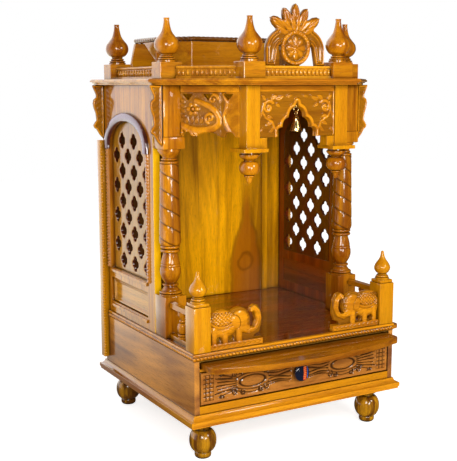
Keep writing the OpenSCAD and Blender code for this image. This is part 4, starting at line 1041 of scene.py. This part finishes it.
def canted_relief(u, v):
    wave = [(124, 80), (108, 75), (92, 68), (77, 57), (69, 43), (70, 29), (82, 20), (99, 16), (120, 14), (141, 17),
            (158, 25)]
    made = highest(
        stroke(u, v, wave, 6.5, 9.5, 5.4), stroke(u, v, spiral((91, 43), 12, 1.3, -1.2), 5.0, 3.2, 4.6),
        rosette(u, v, (131, 62), 17, 6, 4.8), stroke(u, v, spiral((83, 84), 12, -1.1, 3.0), 5.0, 3.0, 4.4),
        5.0 * np.sqrt(np.clip(1 - ((u - 92) ** 2 + (v - 38) ** 2) / 20, 0, 1)),
        stroke(u, v, [(58, 94), (51, 78), (53, 62), (58, 48), (55, 30), (45, 12)], 4.4, 5.0, 5.2),
        stroke(u, v, spiral((43, 68), 8, 1.2, 0.4), 3.2, 2.2, 3.6), leaves(u, v, canted_leaves),
        *[mound(u, v, (46, 92 - 9 * k), 3.4, 3.4, 4.4) for k in range(3)])
    ground = -3.4 + 0.7 * np.abs(np.sin(0.55 * u + 1.5 * np.sin(0.3 * v))) * (u > 66)
    made = np.maximum(made - 5.4, np.where(u < 52, -2.2, ground - 0.8))
    rail = v - 99
    return np.where(rail > 0, -0.2 - 1.8 * np.exp(-rail), np.minimum(made, 0))


for side, name in ((-1, "canted_panel_left"), (1, "canted_panel_right")):
    bm = bmesh.new()
    if side > 0:
        along, start = span.normalized(), bay_spot
        shapes, ends = (canted_outline, canted_relief), (BAY_END, CANT_L - COLUMN_END)
    else:
        along, start = Vector((span.x, -span.y, 0)).normalized(), Vector((-column_spot.x, *column_spot.yz))
        shapes = (flipped(canted_outline, CANT_L), flipped(canted_relief, CANT_L))
        ends = (COLUMN_END, CANT_L - BAY_END)
    start = start + along.cross(UP) * BOARD_T / 2 * MM
    carve(bm, (ends, (0, FRIEZE_H)), 1.1, *shapes, BOARD_T, axes(start, along))
    finish_piece("carved_" + name, bm, carved_wood, name)

# %% [markdown]
# Beside each corner post stands an elephant with a raised trunk, on a plain strip. The animal is
# a few round masses: body, head, ear and trunk, with a woven blanket on its back and rings on
# its trunk. The right one is the left one mirrored.

# %% Elephant outline
BRACKET_L, BRACKET_H = 136, 92


def oval_points(x, y, a, b, steps=28):
    return [(x + a * math.cos(math.tau * i / steps), y + b * math.sin(math.tau * i / steps)) for i in range(steps)]


def scaled(points):
    return [(BRACKET_L * u, BRACKET_H * v) for u, v in points]


trunk_line = scaled([(0.78, 0.2), (0.95, 0.28), (1, 0.5), (0.98, 0.82), (0.92, 0.97), (0.84, 1), (0.77, 0.94),
                     (0.76, 0.84), (0.84, 0.8), (0.88, 0.6), (0.84, 0.44), (0.7, 0.44)])
leg_line = scaled([(0.3, 0), (0.8, 0), (0.88, 0.3), (0.62, 0.6), (0.3, 0.5)])


def bracket_outline(u, v):
    solid = np.minimum(box_outline(u, v, 0, BRACKET_L, 0, 14.7), box_outline(u, v, 0, 57, 0, 79))
    for points in (trunk_line, leg_line, oval_points(34, 51.5, 46, 36.8), oval_points(74.8, 57, 31.3, 33.1)):
        solid = np.minimum(solid, shape_outline(u, v, points))
    solid = np.maximum(solid, box_outline(u, v, 0, BRACKET_L, 0, BRACKET_H))
    return pierced(solid, *[np.hypot(u - x, v - 22.1) - 6.4 for x in (23.1, 57.1)])


print(len(trunk_line), "points in the trunk,", len(leg_line), "in the leg")

# %% Elephant relief and brackets
def bracket_relief(u, v):
    body = mound(u, v, (36, 55), 39, 31, 6.5)
    off_back = np.hypot(u - 34, v - 92)
    blanket = np.minimum(np.abs(off_back - 40), np.abs(off_back - 47))
    body = body - 2.4 * cut(blanket, 1.6) * (body > 0)
    cloth = off_back < 40
    weave = cut((u + v) % 9 - 4.5, 1.2) + cut((u - v) % 9 - 4.5, 1.2)
    body = body - 1.3 * weave * cloth * (body > 0)
    creases = cut(np.abs(np.sin(0.32 * v + 0.1 * u)) * 4, 1.4) * (off_back > 50)
    body = body - 1.0 * creases * (body > 0)
    ear = mound(u, v, (64, 58), 13, 18, 2.4, 0.3)
    head = mound(u, v, (78, 60), 24, 25, 7.5) + ear - 3.0 * cut(ear - 0.6, 0.5) * (ear > 0)
    made = highest(
        body, head,
        stroke(u, v, [(86, 42), (102, 36), (117, 42), (126, 58), (124, 74), (114, 84), (107, 80)], 11, 6.5, 6.5),
        stroke(u, v, [(13, 44), (12, 15)], 9, 8, 5.5), stroke(u, v, [(40, 40), (40, 15)], 8, 8, 5.5),
        stroke(u, v, [(76, 40), (76, 15)], 9, 8.5, 5.5), stroke(u, v, [(4, 66), (3, 46), (7, 34)], 3, 2, 4),
        mound(u, v, (88, 67), 2.6, 2.2, 8.6), leaf(u, v, (2, 88), (52, 84), 5, 4.5, vein=0.3))
    rings = np.sin(math.tau * np.hypot(u - 98, v - 60) / 7)
    trunk = (u > 94) & (v > 30)
    made = made - np.where(trunk, 1.5 * np.clip(rings, 0, 1), 0) * (made > 2)
    petals = 1.4 * cut(np.abs(np.sin(math.pi * (u + 2 * np.abs(v - 7)) / 13)) * 5, 1.5) * (np.abs(v - 7) < 4.5)
    return np.where(v < 14, -0.2 - petals - 2.5 * np.exp(v - 14), np.minimum(made - 7.2, 0))


for side, name in ((-1, "bracket_left"), (1, "bracket_right")):
    low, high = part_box(name)
    bm = bmesh.new()
    if side < 0:
        ends, shapes, corner = (0, BRACKET_L), (bracket_outline, bracket_relief), low
    else:
        ends, shapes = (-BRACKET_L, 0), (flipped(bracket_outline), flipped(bracket_relief))
        corner = (high.x, low.y, low.z)
    carve(bm, (ends, (0, BRACKET_H)), 1.0, *shapes, (high.y - low.y) / MM, axes(corner))
    finish_piece("carved_" + name, bm, carved_wood, name)

# %% [markdown]
# The crest over the doorway: a ring with a flower in it, carried by two curved legs, under five
# veined leaves. It is carved on both faces, since it stands free on the roof.

# %% Crest outline
CREST_HALF, SHOULDER, LEAF_FOOT, RING_R, CREST_H = 78, 34, 62, 39, 136
crest_leaves = [(math.radians(a), reach) for a, reach in ((56, 77), (26, 71), (0, CREST_H - LEAF_FOOT))]


def leaf_point(angle, reach):
    return (reach * math.sin(angle), LEAF_FOOT + reach * math.cos(angle))


leg = [(22 + (CREST_HALF - 22) * math.cos(a), SHOULDER + 50 * math.sin(a)) for a in np.linspace(0, 1.047, 9)]
right_edge = [(CREST_HALF, 0), *leg]
for angle, reach in crest_leaves:
    for turn_by, part in ((12, 0.68), (9.5, 0.84), (5, 0.95), (0, 1), (-5, 0.95), (-9.5, 0.84), (-13, 0.68)):
        if angle + math.radians(turn_by) >= 0:
            right_edge.append(leaf_point(angle + math.radians(turn_by), reach * part))
crest_line = [*right_edge, *[(-u, v) for u, v in reversed(right_edge)]]
gap = [(CREST_HALF - 24, -2), (CREST_HALF - 24, 0)]
gap += [((CREST_HALF - 30) * math.cos(a), SHOULDER + 24 * math.sin(a)) for a in (0, 0.26, 0.52)]
gap += [(RING_R * math.sin(a), RING_R * (1 + math.cos(a))) for a in np.linspace(1.48, 2.79, 10)] + [(10, -2)]
crest_gaps = [gap, [(-u, v) for u, v in gap]]


def crest_outline(u, v):
    return pierced(shape_outline(u, v, crest_line), *[shape_outline(u, v, points) for points in crest_gaps])


print(len(crest_line), "points in the crest")

# %% Crest relief and crest
def crest_relief(u, v):
    w = np.abs(u)
    made = np.zeros_like(u)
    for angle, reach in crest_leaves:
        made = highest(made, leaf(w, v, leaf_point(angle, 8), leaf_point(angle, reach + 1), 15, 4.2, vein=0.45,
                                  fullness=0.9))
        for k in (-1, 1):
            tip = leaf_point(angle + 0.13 * k, reach * 0.82)
            made = made - 1.2 * cut(to_segment(w, v, leaf_point(angle, 30), tip)[0], 1.1)
    r = np.hypot(u, v - RING_R)
    ring = 4.8 * dome(r - 34, 5)
    beads = 0.7 * np.cos(30 * np.arctan2(v - RING_R, u)) * (np.abs(r - 34) < 3)
    flower = highest(rosette(u, v, (0, RING_R), 27, 8, 3.8), rosette(u, v, (0, RING_R), 15, 8, 4.6))
    made = np.where(r < 39, highest(ring + beads, flower), made)
    off_edge = -crest_outline(u, v)
    legs = (w > 40) & (v < 80) & (r > 39)
    lines = highest(3.6 * cut(off_edge - 3.2, 2.2), 2.6 * cut(off_edge - 9.5, 2.2))
    return np.where(legs, highest(made, lines), made) - 5


low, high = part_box("crest")
bm = bmesh.new()
carve(bm, ((-CREST_HALF, CREST_HALF), (0, CREST_H)), 1.0, crest_outline, crest_relief, (high.y - low.y) / MM,
      axes((0, low.y, low.z)), both=True)
finish_piece("carved_crest", bm, carved_wood, "crest")

# %% [markdown]
# Ropes. The box on the roof has a rope rim: a tube whose skin is notched along lines that wind
# round it. The two bands at the deck's edge are flat strips with a row of slanting beads under a
# plain round fillet.

# %% Rope rim
def rope(bm, path, half_w, half_h, pitch, closed=False, strands=2, around=14, step=2.2):
    """A twisted rope along a path of points in millimetres."""
    corners_of = [Vector(p) for p in path] + ([Vector(path[0])] if closed else [])
    spots = []
    for a, b in zip(corners_of, corners_of[1:]):
        count = max(2, round((b - a).length / step))
        spots += [a.lerp(b, i / count) for i in range(count)]
    if not closed:
        spots.append(corners_of[-1])
    rings, run = [], 0.0
    for i, spot in enumerate(spots):
        before = spots[i - 1] if i or closed else spots[i]
        after = spots[(i + 1) % len(spots)] if i + 1 < len(spots) or closed else spots[i]
        ahead = (after - before).normalized()
        side = ahead.cross(UP if abs(ahead.z) < 0.9 else Vector((0, -1, 0))).normalized()
        over = side.cross(ahead)
        run += (spot - before).length if i else 0.0
        ring = []
        for k in range(around):
            a = math.tau * k / around
            notch = abs(math.sin(strands * (a + math.tau * run / pitch) / 2)) ** 0.6
            size = 0.74 + 0.26 * notch
            skin = half_w * math.cos(a) * side + half_h * math.sin(a) * over
            ring.append(bm.verts.new((spot + size * skin) * MM))
        rings.append(ring)
    pairs = list(zip(rings, rings[1:])) + ([(rings[-1], rings[0])] if closed else [])
    for one, two in pairs:
        for k in range(around):
            bm.faces.new((one[k], one[(k + 1) % around], two[(k + 1) % around], two[k]))
    if not closed:
        bm.faces.new(rings[0])
        bm.faces.new(rings[-1])


low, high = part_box("crown_rim")
x0, x1, y0, y1, z = [value / MM for value in (low.x, high.x, low.y, high.y, (low.z + high.z) / 2)]
RIM_HALF_W, RIM_CORNER, RIM_FRONT_HALF = 8, 67, 123
x0, x1, y0, y1 = x0 + RIM_HALF_W, x1 - RIM_HALF_W, y0 + RIM_HALF_W, y1 - RIM_HALF_W
bm = bmesh.new()
rope(bm, [(x0, y1, z), (x0, y0 + RIM_CORNER, z), (-RIM_FRONT_HALF, y0, z), (RIM_FRONT_HALF, y0, z),
          (x1, y0 + RIM_CORNER, z), (x1, y1, z)], RIM_HALF_W, 6, 26, closed=True)
finish_piece("rope_rim", bm, rim_wood, "crown_rim", angle=70)


# %% Rope bands
def band_relief(height):
    """A row of slanting beads under a plain round fillet."""
    def relief(u, v):
        row = dome(v - 0.3 * height, 3.9)
        beads = row * np.abs(np.sin(math.pi * (u + 0.35 * v) / 9)) ** 0.6
        fillet = dome(v - 0.78 * height, 3.6)
        return np.minimum(-2.8 + 2.8 * beads + 2.4 * fillet, 0)
    return relief


for name, along in (("rope_band_front", (1, 0, 0)), ("rope_band_left", (0, -1, 0))):
    low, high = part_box(name)
    long = max(high.x - low.x, high.y - low.y) / MM
    tall = (high.z - low.z) / MM
    deep = min(high.x - low.x, high.y - low.y) / MM
    bm = bmesh.new()
    start = (low.x, low.y, low.z) if along[0] else (low.x, high.y, low.z)
    size = ((0, long), (0, tall))
    carve(bm, size, 1.1, whole(size), band_relief(tall), deep, axes(start, along), edge=0.8)
    finish_piece("carved_" + name, bm, band_wood, name)

# %% [markdown]
# The gallery on the roof has a fillet at its foot, a row of small upright leaves and a beaded
# top. One rail is drawn as a profile pushed along a line, and its leaves are set in front of it,
# wider apart at the sides.

# %% Gallery rails
BLOCK_HALF, FINIAL_SIDE = 26, 21
profile = [(12, 0), (12, 4.6), (10.4, 5.6), (7.2, 6.4), (7.2, 21.4), (8.6, 22.2), (10.2, 23), (11.4, 25.4),
           (10.6, 27.4), (9, 28)]


def rail(bm, a, b, z, out, pitch=11):
    """A gallery rail from a to b with ornament on its outer side; all in millimetres."""
    a, b = Vector((*a, z)), Vector((*b, z))
    ahead = (b - a).normalized()
    side = Vector((*out, 0)).normalized()
    ring = [(w, h) for w, h in profile] + [(-w, h) for w, h in reversed(profile)]
    ends = [[bm.verts.new((end + side * w + Vector((0, 0, h))) * MM) for w, h in ring] for end in (a, b)]
    count = len(ring)
    for k in range(count):
        bm.faces.new((ends[0][k], ends[0][(k + 1) % count], ends[1][(k + 1) % count], ends[1][k]))
    bm.faces.new(ends[0])
    bm.faces.new(ends[1])
    length = (b - a).length
    leaves = round(length / pitch)
    for k in range(leaves):
        spot = a + ahead * length * (k + 0.5) / leaves + side * 7.4
        for lift, half_l, half_h, stand in ((13.6, 0.36 * pitch, 7.6, 4.6), (25.2, 0.3 * pitch, 2.4, 5.2)):
            made = bmesh.ops.create_uvsphere(bm, u_segments=8, v_segments=6, radius=1)["verts"]
            for vert in made:
                p = vert.co.copy()
                taper = 1 - 0.35 * max(p.z, 0)
                flat = spot + ahead * p.x * half_l * taper + side * p.y * stand
                vert.co = (flat + Vector((0, 0, lift + p.z * half_h))) * MM


low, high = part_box("gallery_rails")
z = low.z / MM
sx, sy, bx, by, ky = [value / MM for value in (side_x, side_y, bay_x, front_y, back_y)]
run = Vector((bx - sx, by - sy)).normalized()
bm = bmesh.new()
rail(bm, (-bx + BLOCK_HALF, by), (bx - BLOCK_HALF, by), z, (0, -1))
for side in (-1, 1):
    rail(bm, (side * sx, sy + FINIAL_SIDE), (side * sx, ky - FINIAL_SIDE), z, (side, 0), 15)
    canted = [(side * (sx + run.x * BLOCK_HALF), sy + run.y * BLOCK_HALF),
              (side * (bx - run.x * BLOCK_HALF), by - run.y * BLOCK_HALF)]
    rail(bm, *canted, z, (side * -run.y, run.x))
finish_piece("leafy_gallery_rails", bm, gallery_wood, "gallery_rails", angle=50)

# %% [markdown]
# On each side wall a hood stands over the window on two thinner legs. A row of small beads runs
# up each leg, and the hood is plain and round and hides a little of the opening. The low panel
# under the sill has a moulded border, and a row of beads runs up the post at the back corner.

# %% Window hoods
low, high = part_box("arch_mouldings")
HOOD_T, LEG_T, BAND = 9, 6, 16
HALF_W = (high.y - low.y) / MM / 2
HOOD_H = (high.z - low.z) / MM
SPRING = HOOD_H - ARCH_RISE - BAND
HOOD_FOOT, HOOD_OVER = SPRING - 10, 5


def window_line(grow):
    half_width = HALF_W - BAND + grow
    arch = [(half_width * math.cos(a), SPRING + (ARCH_RISE + grow) * math.sin(a)) for a in np.linspace(0, math.pi, 33)]
    return [*arch, (-half_width, -1 - grow), (half_width, -1 - grow)]


def hood_outline(u, v):
    """The legs end at the window's edge; the hood stands a little over it."""
    lines = [shape_outline(u, v, window_line(grow)) for grow in (0, -HOOD_OVER)]
    window = np.where(v < HOOD_FOOT, *lines)
    return np.maximum(pierced(shape_outline(u, v, window_line(BAND)), window), -v)


def hood_relief(u, v):
    inner = shape_outline(u, v, window_line(0))
    bead_row = dome(inner - 10, 4.5) * np.abs(np.sin(math.pi * v / 8))
    legs = -(HOOD_T - LEG_T) - 3.6 + 4.4 * bead_row
    hood = 3.6 * dome(inner - (BAND - HOOD_OVER) / 2, (BAND + HOOD_OVER) / 2 + 0.4) - 3.6
    return np.where(v < HOOD_FOOT, legs, hood)


bm = bmesh.new()
for side in (-1, 1):
    carve(bm, ((-HALF_W, HALF_W), (0, HOOD_H)), 1.8, hood_outline, hood_relief, HOOD_T,
          on_wall(low, high, side), edge=1.6)
finish_piece("window_hoods", bm, hood_wood, "arch_mouldings")

# %% Low panels
low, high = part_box("wall_panels")
PANEL_W, PANEL_H, PANEL_T = (high.y - low.y) / MM, (high.z - low.z) / MM, 6
panel_size = ((-PANEL_W / 2, PANEL_W / 2), (0, PANEL_H))


def panel_relief(u, v):
    off_edge = -whole(panel_size)(u, v)
    return highest(3.2 * dome(off_edge - 3.4, 3.4), 1.3 * dome(off_edge - 9, 2.2))


bm = bmesh.new()
for side in (-1, 1):
    carve(bm, panel_size, 1.9, whole(panel_size), panel_relief, PANEL_T,
          on_wall(low, high, side), edge=0.5)
finish_piece("bordered_low_panels", bm, low_panel_wood, "wall_panels")

# %% Rear posts
low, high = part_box("rear_posts")
WALL_OVERLAP, BEAD_PITCH, BEAD_R = 4, 7.2, 4.4
base_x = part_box("base_side_right")[1].x
wall_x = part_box("wall_frame_right")[1].x - WALL_OVERLAP * MM
deck_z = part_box("deck")[1].z
beads = int((high.z - low.z - 8 * MM) / MM / BEAD_PITCH)
bm = bmesh.new()
for side in (-1, 1):
    corners_x = sorted((side * base_x, side * high.x))
    block(bm, (corners_x[0], low.y, low.z), (corners_x[1], high.y, high.z))
    gap_x = sorted((side * wall_x, side * (base_x + 2 * MM)))
    block(bm, (gap_x[0], low.y + 1 * MM, deck_z), (gap_x[1], high.y - 1 * MM, high.z - 1 * MM), 0.5)
    edge_x = side * (high.x / MM - 2.6)
    for k in range(beads):
        spot = Vector((edge_x, low.y / MM + 1.2, low.z / MM + 4 + BEAD_PITCH * k))
        for vert in bmesh.ops.create_uvsphere(bm, u_segments=8, v_segments=6, radius=BEAD_R)["verts"]:
            vert.co = (spot + vert.co) * MM
finish_piece("roped_rear_posts", bm, post_wood, "rear_posts")

# %% [markdown]
# The boards under the eaves have a scalloped outer edge. A raised bead runs along the edge on
# both faces, with shallow waves inside it like the veins of a leaf.

# %% Eave brackets
low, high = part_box("eave_brackets")
EAVE_H, EAVE_T = (high.z - low.z) / MM, 10
EAVE_W = (high.x - wall_x) / MM
eave_edge = [(1, 0), (1, 0.03), (0.69, 0.175), (0.69, 0.22), (0.93, 0.263), (1, 0.33), (0.93, 0.41), (0.76, 0.51),
             (0.69, 0.64), (0.86, 0.686), (1, 0.737), (0.9, 0.78), (0.72, 0.803), (0.41, 0.91), (0, 1)]
eave_line = [(0, 0), *[(u * EAVE_W, -v * EAVE_H) for u, v in eave_edge]]


def eave_outline(u, v):
    return shape_outline(u, v, eave_line)


def eave_relief(u, v):
    off_edge = -eave_outline(u, v)
    bead_line = 2.2 * cut(off_edge - 2.6, 1.8)
    veins = 0.5 * np.abs(np.sin(math.pi * (v + 0.8 * u + 3 * np.sin(0.12 * u)) / 12)) * ((off_edge > 5) & (u > 4))
    return bead_line + veins - 2.2


bm = bmesh.new()
for ends, shapes, x in (((-EAVE_W, 0), (flipped(eave_outline), flipped(eave_relief)), -wall_x),
                        ((0, EAVE_W), (eave_outline, eave_relief), wall_x)):
    for y in (low.y, high.y - EAVE_T * MM):
        carve(bm, (ends, (-EAVE_H, 0)), 1.1, *shapes, EAVE_T, axes((x, y, high.z)), edge=0.8, both=True)
finish_piece("leafy_eave_brackets", bm, carved_wood, "eave_brackets")

# %% [markdown]
# The floor and the light. The floor is pale and plain, and the world is a soft white room. The
# varnish reflects it bright on one side only, left and behind, where the photo has its lights.
# Three soft lamps stand in front: the strongest on the left, a low one in the middle that
# reaches under the canopy, and a weaker one on the right.

# %% Floor
def white_side(tree, vector, low, high):
    """How far a point or a direction lies towards the white side of the room, left and behind."""
    toward = node(tree, "ShaderNodeVectorMath", {0: vector, 1: (-0.5, 0.866, 0.1)}, operation="DOT_PRODUCT")
    return ramp(tree, toward.outputs["Value"], low, high)


bm = bmesh.new()
bmesh.ops.create_grid(bm, x_segments=1, y_segments=1, size=6)
mesh = bpy.data.meshes.new("floor")
bm.to_mesh(mesh)
bm.free()
floor = new_object("floor", mesh)
pale_floor, tree, shader = new_material("pale_floor")
shader.inputs["Roughness"].default_value = 0.6
shader.inputs["Specular IOR Level"].default_value = 0.0
rays = node(tree, "ShaderNodeLightPath").outputs
glossy = rays["Is Glossy Ray"]
tree.links.new(blend(tree, glossy, (0.86, 0.86, 0.86, 1), (0.02, 0.02, 0.02, 1)), shader.inputs["Base Color"])
shader.inputs["Emission Color"].default_value = (1, 1, 1, 1)
spot = node(tree, "ShaderNodeTexCoord").outputs["Object"]
window = calc(tree, "MULTIPLY_ADD", white_side(tree, spot, 0.2, 1.8), 2.0, 0.02)
strength = calc(tree, "MULTIPLY_ADD", rays["Is Camera Ray"], 0.66, calc(tree, "MULTIPLY", glossy, window))
tree.links.new(strength, shader.inputs["Emission Strength"])
mesh.materials.append(pale_floor)
print("floor", floor.name, "set")

# %% World
world = bpy.data.worlds.new("white_room")
bpy.context.scene.world = world
world.use_nodes = True
tree = world.node_tree
backdrop = tree.nodes["Background"]
rays = node(tree, "ShaderNodeLightPath").outputs
way = node(tree, "ShaderNodeTexCoord").outputs["Object"]
window = calc(tree, "MULTIPLY_ADD", white_side(tree, way, 0.3, 0.85), 2.3, 0.03)
seen = calc(tree, "MAXIMUM", rays["Is Camera Ray"], rays["Is Transmission Ray"])
strength = node(tree, "ShaderNodeMix", {0: seen, 2: 0.5, 3: 1.0}).outputs[0]
strength = node(tree, "ShaderNodeMix", {0: rays["Is Glossy Ray"], 2: strength, 3: window}).outputs[0]
tree.links.new(strength, backdrop.inputs["Strength"])
tree.links.new(blend(tree, rays["Is Glossy Ray"], (1, 1, 1, 1), (0.93, 0.9, 1, 1)), backdrop.inputs["Color"])


print("world", world.name, "set")

# %% Lamps
def lamp(name, spot, aim, size, power):
    """A square soft lamp that looks at a point."""
    data = bpy.data.lights.new(name, "AREA")
    data.size = size
    data.energy = power
    made = new_object(name, data)
    made.location = spot
    made.rotation_euler = (Vector(aim) - Vector(spot)).to_track_quat("-Z", "Y").to_euler()


AIM = (0, 0, 0.5)
lamp("key_lamp", (0.9, -2.3, 1.6), AIM, 0.6, 18)
lamp("low_lamp", (-0.3, -2.5, 0.75), AIM, 0.6, 22)
lamp("fill_lamp", (-1.5, -2.1, 1.2), AIM, 0.8, 34)
print(len(bpy.data.lights), "lamps set")
